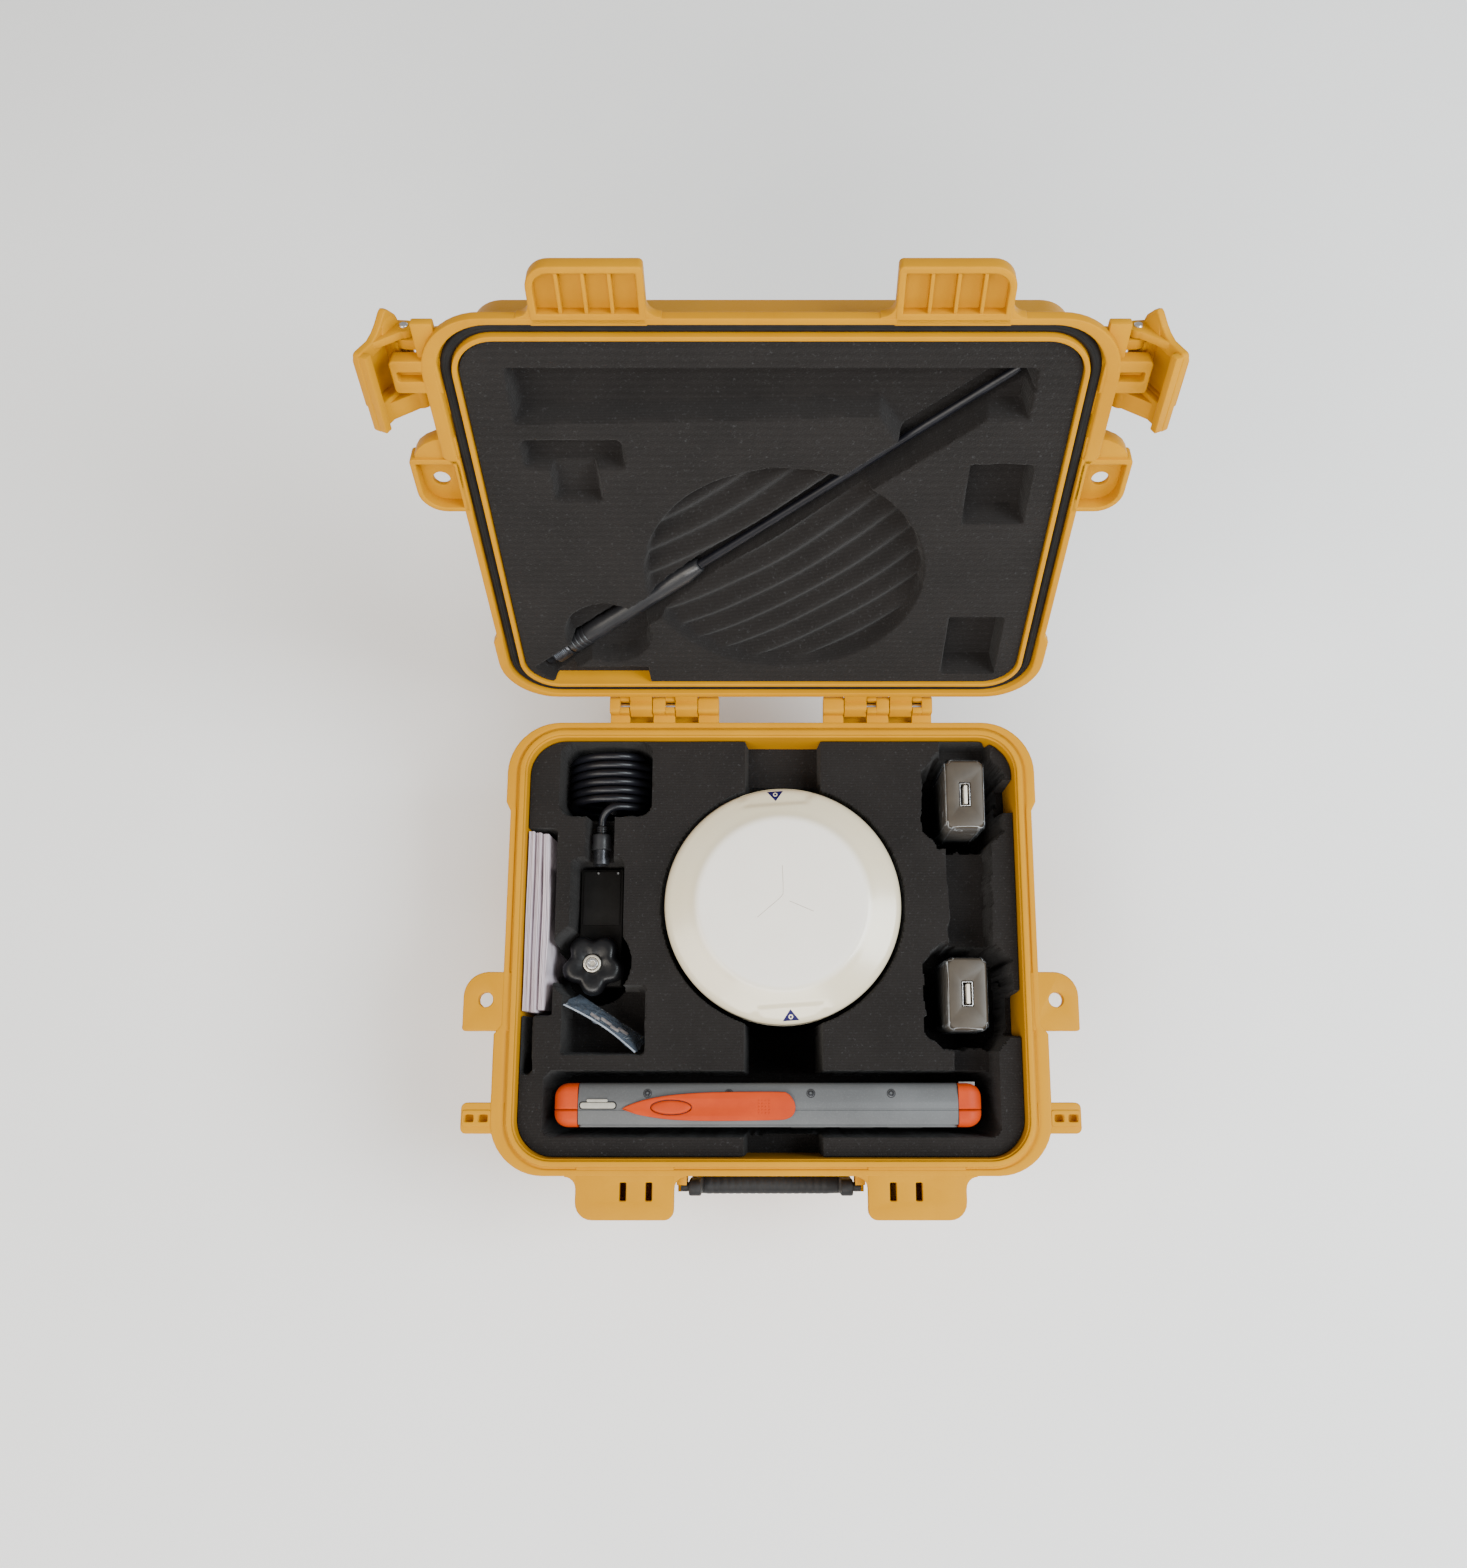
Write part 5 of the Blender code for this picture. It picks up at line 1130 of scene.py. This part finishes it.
def facet_depth(x, y):
    """How far the cover is let in at its front and rear lands, with a dent at each land's ends."""
    c, s = math.cos(MARK_TURN), math.sin(MARK_TURN)
    across, out = x * c + y * s, abs(y * c - x * s)
    land = 1.0 * smooth((18.5 - abs(across)) / 1.2) * smooth((out - 53.5) / 3.0)
    dent = 1.3 * math.exp(-((abs(across) - 19.0) / 2.0) ** 2 - ((out - 60.4) / 2.6) ** 2)
    return land + dent


COVER_TOP = [(0.0, 111.4), (24.0, 111.15), (40.0, 110.65), (45.2, 110.3), (47.2, 109.9), (49.0, 109.1),
             (51.0, 108.25), (56.0, 106.5), (61.4, 104.5), (62.9, 103.7), (64.1, 102.6), (64.7, 101.2)]


def cover_height(x, y):
    r = math.hypot(x, y)
    for (r0, z0), (r1, z1) in zip(COVER_TOP, COVER_TOP[1:]):
        if r <= r1:
            return z0 + (z1 - z0) * (r - r0) / (r1 - r0) - facet_depth(x, y)
    return COVER_TOP[-1][1]


def on_cover(x, y, lift):
    return (x, y, cover_height(x, y) + lift)


def make_cover():
    """The white cover: crown, shoulder, two lands by its rim, and a skirt with a fine shadow line."""
    steps = 200
    radii = [0.01, 12, 24, 32, 40, 43, 45.2, 46.2, 47.2, 48.1, 49, 50, 51] + [52 + 0.8 * i for i in range(14)]
    rows = [[on_cover(x, y, 0) for x, y in circle(r, steps)] for r in radii + [63.4, 64.1, 64.5, 64.7]]
    skirt = [(COVER_R, 100.4), (COVER_R, 84.0), (64.3, 83.8), (64.3, 83.2), (COVER_R, 83.0), (COVER_R, 81.0),
             (64.4, 80.2), (63.9, 80.0), (62.4, 80.0), (62.0, 88.6), (61.9, 100.2), (45.0, 107.2), (0.01, 108.4)]
    rows += [level(circle(r, steps), z) for r, z in skirt]
    piece("receiver_cover", loft(rows[::-1]), "radome_plastic", "receiver", ["receiver_top_cover"], AT_RECEIVER,
          40)


def hugging(points, half, lift):
    """A strip of even width that lies on the cover along points."""
    rows = []
    for i, (x, y) in enumerate(points):
        before, after = points[max(i - 1, 0)], points[min(i + 1, len(points) - 1)]
        way = Vector((after[0] - before[0], after[1] - before[1])).normalized() * half
        sides = [(x - way.y, y + way.x), (x + way.y, y - way.x)]
        rows.append([on_cover(*sides[0], -0.15), on_cover(*sides[1], -0.15), on_cover(*sides[1], lift),
                     on_cover(*sides[0], lift)])
    return loft(rows)


def make_cover_marks():
    """Three fine creases that meet in the middle, drawn as thin strips of painted shade, and a direction mark on
    each land.
    """
    arms = [((-0.3, 20.0), (0.1, 6.0), (-0.6, 3.4)), ((-0.6, 3.4), (-3.0, 1.0), (-13.8, -8.2)),
            ((3.4, 0.6), (9.0, -1.8), (16.6, -5.0))]
    # painted shade: each crease is only a thin darker strip lying on the cover
    creases = [hugging([tuple(p) for p in smooth_line([Vector(p) for p in arm], 6)], 0.16, 0.03) for arm in arms]
    piece("cover_crease_shade", creases, "crease_shade", "receiver", (), AT_RECEIVER)
    for name, sign in (("front", -1), ("rear", 1)):
        turn = Matrix.Rotation(MARK_TURN, 2) * sign
        rows = []
        for j in range(9):
            half, out = 4.5 * j / 8 + 0.02, 57.0 + 6.0 * j / 8
            across = [turn @ Vector((half * (i / 6 - 1), out)) for i in range(13)]
            rows.append([on_cover(*p, 0.08) for p in across] + [on_cover(*p, -0.2) for p in across[::-1]])
        piece(f"cover_mark_{name}", loft(rows), "mark_ink", "receiver", (), AT_RECEIVER)
        centre = turn @ Vector((0.0, 61.0))
        ring = circle(0.95, 24, *centre)
        piece(f"cover_mark_ring_{name}", hugging(ring + ring[:1], 0.26, 0.16), "radome_plastic", "receiver", (),
              AT_RECEIVER)


def make_housing():
    """The dark lower housing: a smooth cone with two flats, a battery opening and a port opening."""
    profile = filleted([(9.4, 5.3), (52.0, 5.3), (57.0, 18.6), (60.0, 30.0), (61.6, 84.0), (61.6, 86.0),
                        (58.4, 86.0), (58.4, 84.0), (57.2, 32.0), (53.0, 22.0), (49.5, 8.3), (9.4, 8.3)], 1.2)
    flats = [block(-24, 24, 57.6, 70, 20, 79.5, 0.8), block(-24, 24, -70, -57.6, 20, 79.5, 0.8)]
    backing = [block(-25, 25, 50.0, 57.4, 21, 80, 0), block(-25, 25, -57.4, -50.0, 21, 80, 0)]
    openings = [block(-18.5, 18.5, 45, 70, 25.5, 50.5, 0), block(-10.5, 10.5, -70, -45, 31.5, 42.5, 0),
                turned([(0, -70), (5.4, -70), (5.4, -45), (0, -45)], 48, "Y", (0, 0, 60.0)),
                turned([(0, -1), (7.2, -1), (7.2, 12), (0, 12)], 48, "Z", (0, -34.0, 0))]
    shell = carved(ring_turned([tuple(p) for p in profile], 160), backing, flats + openings)
    piece("receiver_housing_smooth", shell, "housing_plastic", "receiver", ["receiver_housing"], AT_RECEIVER)


def make_receiver():
    make_cover()
    make_cover_marks()
    lip = [(56.0, 6.0), (58.4, 6.6), (59.8, 8.0)]
    for i in range(4):
        z = 9.0 + 1.9 * i
        lip += [(60.3, z), (60.9, z + 0.5), (60.9, z + 1.0), (60.3, z + 1.4)]
    bumper = ring_turned(lip + [(59.8, 18.0), (57.2, 18.0), (52.8, 6.0)], 96)
    piece("receiver_bumper_ribbed", bumper, "grip_rubber", "receiver", ["receiver_bumper"], AT_RECEIVER)
    thread = [(9.1, -0.2), (9.1, 22.0), (7.1, 22.0)]
    for i in range(13):
        z = 21.0 - 1.5 * i
        thread += [(7.0, z), (7.8, z - 0.75)]
    insert = ring_turned(thread + [(7.2, 0.8), (8.0, -0.2)], 48)
    piece("pole_insert_threaded", insert, "brass", "receiver", ["pole_thread_insert"], AT_RECEIVER)
    make_housing()
    for look, *nodes in (("seal_rubber", "receiver_seal_ring"), ("housing_plastic", "battery_door"),
                         ("aluminium", "receiver_bottom_plate", "antenna_ground_plate"),
                         ("brass", "radio_antenna_socket"),
                         ("black_plastic", "battery_bay", "battery_pack", "receiver_front_panel"),
                         ("steel", "receiver_module", "data_socket"), ("circuit_board", "main_board"),
                         ("patch_ceramic", "antenna_patch_lower", "antenna_patch_upper"),
                         ("orange_rubber", "power_button"), ("grip_rubber", "port_cover")):
        dress(look, *nodes)


# ---- the controller ----
SHELL_X = (-101.5, 98.5)
CTRL_Y0, CTRL_Y1 = -97.7, -74.9
CTRL_Z0, CTRL_Z1 = 35.0, 125.0
SEAM_Y = -88.6
RIDGE = [(-97.7, 119.5), (-97.4, 121.4), (-96.2, 123.2), (-93.0, 124.3), (-85.4, 125.0), (-84.4, 124.9),
         (-78.6, 123.6), (-76.2, 122.4), (-75.2, 120.8), (-74.9, 119.0)]


def ridge_height(y):
    for (y0, z0), (y1, z1) in zip(RIDGE, RIDGE[1:]):
        if y <= y1:
            return z0 + (z1 - z0) * (y - y0) / (y1 - y0)
    return RIDGE[-1][1]


def controller_half(side):
    """One moulded half, from its face to the seam along the middle."""
    edge = SEAM_Y + 0.16 * side
    over = [(y, z) for y, z in RIDGE if (y - edge) * side > 0]
    top = [(edge, ridge_height(edge) - 0.35), (edge + 0.35 * side, ridge_height(edge + 0.35 * side))]
    over = top + (over if side > 0 else over[::-1])
    under = [(y, CTRL_Z0 + CTRL_Z1 - z) for y, z in reversed(over)]
    return over + under


def make_controller_body():
    for name, side, node in (("front", -1, "controller_front_shell"), ("back", 1, "controller_back_shell")):
        outline = controller_half(side)
        shell = along_x(outline, *SHELL_X, 0.5, 55)
        if side < 0:
            bmesh.ops.translate(shell, vec=(0, 1.4, 0), verts=[v for v in shell.verts if v.co.y < -96.9])
            face = rounded_box(*SHELL_X, 40.5, 119.5, 2, 4)
            windows = [rounded_box(-84, -4, 47, 113, 1.5, 4), rounded_box(4, 88, 45, 115, 1.5, 4)]
            bezel = moved(plate([face] + windows, 95.9, 97.7, 0.5), FACING_FRONT)
            core = block(-101.4, 98.4, SEAM_Y - 0.4, SEAM_Y + 0.4, 40.0, ridge_height(SEAM_Y) - 0.3, 0.1)
            shell = [shell, bezel, core]
        piece(f"controller_{name}_half", shell, "controller_grey", "controller", [node])


def cap_half(x_in, x_out, y_low, y_high):
    """Half of a rubber end cap: a rounded nose that is cut flat along the seam."""
    way = math.copysign(1, x_out - x_in)
    front = y_low < SEAM_Y - 1
    rows = [[(x_in, y, z) for y, z in cap_section(y_low, y_high, 0.0, front)]]
    for i in range(11):
        a = math.radians(8.6 * i)
        x = x_out - way * 8.0 * (1 - math.sin(a))
        rows.append([(x, y, z) for y, z in cap_section(y_low, y_high, 7.0 * (1 - math.cos(a)), front)])
    return loft(rows)


def cap_section(y_low, y_high, shrink, front):
    """The outline of a cap's half once its outer sides have drawn in by shrink."""
    low, high = (y_low + shrink, y_high) if front else (y_low, y_high - shrink)
    outer, inner = max(4.6 - 0.45 * shrink, 0.8), 1.2
    radii = [inner, outer, outer, inner] if front else [outer, inner, inner, outer]
    return rounded_box(low, high, CTRL_Z0 + 0.6 + shrink, CTRL_Z1 - 0.4 - shrink, radii, 5)


def make_caps():
    for side, x_in, x_out in (("left", -101.7, -114.5), ("right", 98.7, 111.3)):
        halves = [cap_half(x_in, x_out, low, high)
                  for low, high in ((CTRL_Y0 + 0.1, SEAM_Y - 0.1), (SEAM_Y + 0.1, CTRL_Y1 - 0.1))]
        piece(f"controller_end_{side}", halves, "orange_rubber", "controller", [f"controller_cap_{side}"])


INLAY = [(-78.0, -88.4), (-71.0, -84.9), (-60.0, -82.2), (-46.0, -80.5), (-28.0, -79.6), (3.0, -79.4),
         (8.6, -80.2), (11.6, -83.4), (12.8, -87.0), (12.0, -90.6), (9.0, -93.0), (2.0, -93.9), (-30.0, -94.3),
         (-50.0, -93.8), (-62.0, -92.5), (-71.0, -90.8)]
TRIGGER = (-52.4, -87.4)


def oval(rx, ry):
    return [(TRIGGER[0] + rx * x, TRIGGER[1] + ry * y) for x, y in circle(1.0, 40)]


def make_controller_top():
    loop = [Vector(p) for p in INLAY]
    rim = [(p.x, p.y) for p in smooth_line(loop[-2:] + loop + loop[:2], 6)[12:-12]][::-1]
    inlay = plate([rim, oval(10.9, 3.9)], 123.6, 126.3, 0.6)
    dots = [turned([(0, 126.1), (0.42, 126.2), (0.3, 126.55), (0, 126.65)], 10, "Z", (x, y, 0))
            for x in (-6.4, -4.6, -2.8, -1.0) for y in (-90.4, -88.8, -87.2, -85.6, -84.0)]
    piece("controller_inlay", [inlay] + dots, "orange_rubber", "controller", ["controller_grip"])
    rows = [(0.99, 125.66), (0.99, 126.0), (0.955, 126.45), (0.86, 126.8), (0.6, 127.0), (0.02, 127.1)]
    dome = loft([level(oval(10.6 * k, 3.6 * k), z) for k, z in rows])
    piece("controller_trigger", dome, "orange_rubber", "controller_button", ["controller_button"])
    for i, x in enumerate((-65.0, -22.1, 21.0, 63.3)):
        z = ridge_height(-80.3)
        place = about((x, -80.3, z), math.radians(-12), "X")
        head = [(0, z - 0.2), (0.75, z - 0.2), (0.75, z + 0.35), (1.3, z + 0.35), (1.8, z - 0.05), (1.8, z - 0.5)]
        socket = [(0, z - 0.6), (2.35, z - 0.6), (2.35, z + 0.03), (1.9, z + 0.03), (1.9, z - 0.3), (0, z - 0.3)]
        piece(f"controller_screw_{i + 1}", turned(head + [(0, z - 0.5)], 24, "Z", (x, -80.3, 0)), "gunmetal",
              "controller", (), place)
        piece(f"controller_screw_seat_{i + 1}", turned(socket, 28, "Z", (x, -80.3, 0)), "black_plastic",
              "controller", (), place)
    bar = plate([rounded_box(-100.2, -81.6, -88.0, -84.9, 1.5, 6)], 123.9, 125.9, 0.4)
    tab = plate([rounded_box(-96.8, -85.8, -84.7, -83.2, 0.6, 4)], 123.6, 125.6, 0.3)
    piece("controller_slot_bar", [bar, tab], "pale_bar", "controller", ())
    # painted shadow: a thin black plate round the slot bar, standing in for the shade round it
    slot_shadow_plate = plate([rounded_box(-100.8, -81.0, -88.5, -84.4, 1.9, 6)], 123.4, 125.12, 0.1)
    piece("controller_slot_shadow", slot_shadow_plate, "seal_rubber", "controller", ())
    tag = moved(block(99.6, 108.4, -76.2, -74.3, 117.4, 117.8, 0.12), about((104, -75, 117.5), 0.12, "Y"))
    piece("controller_tag", tag, "paper_white", "controller", ())
    dress("screen_glass", "controller_screen")
    dress("grip_rubber", "controller_keypad")


# ---- chargers ----
CHARGERS = {"charger_1": Vector((107.3, 81.0, 123.5)), "charger_2": Vector((105.3, -28.2, 123.5))}


def centred(at, hx, hy, r, steps):
    """A rounded rectangle of those half sizes about a point."""
    return rounded_box(at.x - hx, at.x + hx, at.y - hy, at.y + hy, r, steps)


def charger_body(at):
    """A rounded block, open at its top, with a dished face and the floor of the port's well."""
    hx, hy = 10.6, 19.0
    rows = [level(centred(at, hx - inset, hy - inset, 4.0, 8), z) for inset, z in
            ((2.2, 62.0), (0.5, 62.5), (0.0, 63.8), (0.0, 122.0), (0.35, 122.9), (1.1, 123.4))]
    sides = loft(rows)
    lid = max(sides.faces, key=lambda f: f.calc_center_median().z)
    bmesh.ops.delete(sides, geom=[lid], context="FACES_ONLY")
    face = plate([centred(at, hx - 0.9, hy - 0.9, 3.4, 8), centred(at, 3.2, 6.9, 0.7, 4)], 121.6, 123.5, 0.3)
    return merged([sides, face, block(at.x - 4, at.x + 4, at.y - 8, at.y + 8, 108.0, 110.6, 0.2)])


def usb_port(at):
    """A folded metal shell."""
    return plate([centred(at, 2.85, 6.55, 0.5, 3), centred(at, 2.4, 6.1, 0.3, 3)], 111.0, 123.1, 0.1)


def film_wrap(name, at, seed):
    """A crumpled sleeve of clear film round a charger, open at its top."""
    rng = np.random.default_rng(seed)
    around, up, foot_z, top_z, half = 150, 26, 64.0, 123.55, Vector((11.0, 19.4))
    rim = rounded_box(-half.x, half.x, -half.y, half.y, 4.2, 12)
    loop = smooth_line([Vector(p) for p in rim + rim[:1]], 3)
    waves = [(int(rng.integers(2, 19)), rng.uniform(0, 6.28), rng.uniform(0.3, 1.0)) for _ in range(9)]
    rows = []
    for j in range(up + 1):
        row = []
        for i in range(around):
            p = loop[int(i * (len(loop) - 1) / around)]
            a = 2 * math.pi * i / around
            fold = sum(k * math.sin(n * a + phase + 0.25 * n * j / up * 3) for n, phase, k in waves) * 0.07
            curl = 1.9 * smooth((j - up + 1.6) / 1.6) * (0.62 + 0.38 * math.sin(5 * a + seed))
            lift = 0.1 * math.sin(3 * a + seed) + 0.08 * math.sin(11 * a + 2 * seed) if j == up else 0.0
            way = Vector((p.x / half.x, p.y / half.y)).normalized() * (0.30 + abs(fold) - curl)
            row.append((at.x + p.x + way.x, at.y + p.y + way.y, foot_z + (top_z - foot_z) * j / up + lift))
        rows.append(row)
    bm = loft(rows)
    bmesh.ops.delete(bm, geom=[f for f in bm.faces if len(f.verts) > 4], context="FACES_ONLY")
    area = sum(f.calc_area() for f in bm.faces)
    wrap = piece(f"{name}_film", bm, "clear_film", name, (), smooth_deg=50)


def make_chargers():
    for seed, (name, at) in enumerate(CHARGERS.items()):
        piece(f"{name}_case", charger_body(at), "charger_plastic", name, [f"{name}_body"])
        piece(f"{name}_port", usb_port(at), "steel", name, [f"{name}_usb_port"])
        tongue = block(at.x - 0.2, at.x + 1.5, at.y - 5.2, at.y + 5.2, 110.5, 122.4, 0.2)
        piece(f"{name}_tongue", tongue, "cream_plastic", name, ())
        film_wrap(name, at, seed + 3)


# ---- clamp ----
KNOB_STEPS = 120


def knob_outline(scale):
    points = []
    for i in range(KNOB_STEPS):
        a = 2 * math.pi * i / KNOB_STEPS
        lobe = 2.0 * math.cos(5 * a + math.pi / 2)
        r = (15.6 + lobe - 0.35 * math.cos(10 * a + math.pi)) * scale
        points.append((KNOB.x + r * math.cos(a), KNOB.y + r * math.sin(a)))
    return points


def make_knob():
    """The five-lobed knob: rounded lobes, a shallow dish and a collar round its insert."""
    rows = [level(knob_outline(scale), z) for scale, z in
            ((0.72, 91.5), (0.84, 91.8), (0.93, 92.8), (0.985, 94.2), (1.0, 96.0), (1.0, 100.0), (0.985, 101.8),
             (0.93, 103.2), (0.85, 104.1), (0.74, 104.5), (0.62, 104.45), (0.50, 104.1), (0.36, 103.7),
             (0.345, 103.6))]
    rows += [level(circle(r, KNOB_STEPS, KNOB.x, KNOB.y), z) for r, z in ((5.35, 103.6), (5.3, 91.5))]
    piece("clamp_knob_lobed", loft(rows, closed=True), "glossy_black", "clamp_knob", ["clamp_knob"])
    centre = (KNOB.x, KNOB.y, 0)
    thread = [(0, 56.8), (3.2, 56.8)]
    for i in range(27):
        z = 57.6 + 1.25 * i
        thread += [(4.0, z), (3.45, z + 0.62)]
    head = [(4.0, 91.0), (4.95, 91.6), (4.95, 104.9), (4.7, 105.4), (4.2, 105.6), (3.7, 105.5), (3.4, 104.6),
            (3.2, 104.2), (0, 104.2)]
    piece("clamp_screw_insert", turned(thread + head, 36, "Z", centre), "pale_metal", "clamp_knob",
          ["clamp_screw"])
    cap = plate([circle(3.1, 24, KNOB.x, KNOB.y), circle(1.75, 6, KNOB.x, KNOB.y)], 104.0, 105.1, 0.2)
    piece("clamp_screw_socket", cap, "steel", "clamp_knob", ())


def make_clamp():
    make_knob()
    groove = arc(22.0, 71.5, 11.0, 155.8, 24.2, 16)
    side = [(-22.0, 76.0), (-22.0, 90.6), (44.0, 90.6), (44.0, 76.0), *groove[::-1]]
    arm = along_x(side, -108.0, -84.0, 1.0)
    boss = turned([(0, 90.2), (10.6, 90.2), (10.6, 91.0), (9.8, 91.3), (0, 91.3)], 48, "Z", (KNOB.x, KNOB.y, 0))
    tread = block(-106.5, -85.5, 12.0, 42.8, 90.2, 91.4, 0.5)
    piece("clamp_arm", [arm, boss, tread], "matte_black", "clamp", ["clamp_bracket"])
    for i, x in enumerate((-98.2, -87.0)):
        pin = turned([(0, 88.0), (0.8, 88.0), (0.8, 91.9), (0.5, 92.2), (0, 92.2)], 20, "Z", (x, 41.6, 0))
        piece(f"clamp_rivet_{i + 1}", pin, "steel", "clamp", ())
    groove = arc(22.0, 73.5, 11.0, 223.0, 317.0, 14)
    side = [(-21.0, 57.0), (43.0, 57.0), (43.0, 66.0), *groove[::-1], (-21.0, 66.0)]
    piece("clamp_lower_jaw", along_x(side, -107.0, -85.0, 0.9), "matte_black", "clamp_jaw", ["clamp_jaw"])


# ---- papers and bag ----
def make_manuals():
    """Three stapled booklets on edge: each a folded cover round its pages, bowed a little."""
    books = ((-134.0, -131.0, -37.0, 61.2, 117.6, 0.0), (-129.8, -127.2, -37.6, 60.6, 117.0, 0.25),
             (-125.9, -123.3, -36.4, 60.0, 116.4, 1.6))
    for i, (x0, x1, y0, y1, top, bow) in enumerate(books):
        leaves = []
        count = 5
        for j in range(count):
            a, b = x0 + (x1 - x0) * j / count, x0 + (x1 - x0) * (j + 1) / count
            drop = 0.25 * ((j * 7 + i * 3) % 4)
            rows = []
            for k in range(25):
                t = k / 24
                swell = math.sin(math.pi * t)
                left, right = a + bow * swell * (0.35 + 0.13 * j), b + bow * swell * (0.48 + 0.13 * j) - 0.12
                wave = 0.12 * math.sin(9 * t + 2 * j + i)
                y = y0 + (y1 - y0) * t
                rows.append([(right + 2.0, y, 52.0), (left + 2.0, y, 52.0), (left + wave, y, top - drop - 0.2),
                             (0.5 * (left + right) + wave, y, top - drop), (right + wave, y, top - drop - 0.2)])
            leaves.append(loft(rows))
        piece(f"manual_{i + 1}_booklet", leaves, "page_edges", "manuals", [f"manual_{i + 1}"],
              smooth_deg=50)


AT_BAG = Matrix.Translation((-90.5, -42.5, 84.8)) @ Matrix.Rotation(math.radians(-33), 4, "Z")


def bag_surface(u, v, side):
    """A point of the bag's face: u along it, v up it, both from 0 to 1."""
    x = -23.6 + 47.2 * u
    edge = smooth(min(u, 1 - u) / 0.12) * smooth(min(v, 1.0 - v) / 0.18)
    crumple = (0.5 * math.sin(13 * u + 5 * v + side) + 0.35 * math.sin(29 * u - 17 * v + 2 * side)
               + 0.3 * math.sin(7 * u * v * 9 + side))
    thick = (1.2 + 0.7 * crumple) * edge + 0.12
    lean = 4.2 - 8.8 * v + 2.2 * math.sin(3.1 * u) * v * v
    return (x + 0.5 * math.sin(9 * v + u), lean + side * thick, 29.6 * v + 0.8 * math.sin(5 * u) * v * (1 - v))


def make_bag():
    """A flat zip bag: two crumpled faces sealed round their rim, a zip strip, and spares inside."""
    across, up = 60, 36
    rows = [[bag_surface(i / across, j / up, -1) for i in range(across + 1)]
            + [bag_surface(i / across, j / up, 1) for i in range(across, -1, -1)] for j in range(up + 1)]
    bag = piece("spares_bag_film", loft(rows), "bag_film", "bag", ["spares_bag"], AT_BAG, 60)
    strip = []
    for i in range(41):
        u = i / 40
        x, y, z = bag_surface(u, 0.965, 0)
        strip.append([(x, y - 0.4, z - 1.3), (x, y + 0.4, z - 1.3), (x, y + 0.4, z + 0.4), (x, y - 0.4, z + 0.4)])
    piece("spares_bag_zip", loft(strip), "zip_plastic", "bag", (), AT_BAG)
    bits = []
    for u, v, size in ((0.36, 0.62, 1.3), (0.5, 0.5, 1.6), (0.63, 0.58, 1.2), (0.72, 0.4, 1.5)):
        x, y, z = bag_surface(u, v, 0)
        bit = block(x - 2.2 * size, x + 2.2 * size, y - 0.8, y + 0.8, z - size, z + size, 0.3)
        bits.append(soft_edges(bit, 0.2))
    piece("spares_in_bag", bits, "spare_parts", "bag", (), AT_BAG)


for make in (make_camera, make_studio, make_cable, make_foam, make_base_shell, make_lid_shell, make_gasket,
             make_latches, make_handle, make_whip, make_receiver, make_controller_body, make_caps,
             make_controller_top, make_chargers, make_clamp, make_manuals, make_bag):
    make()
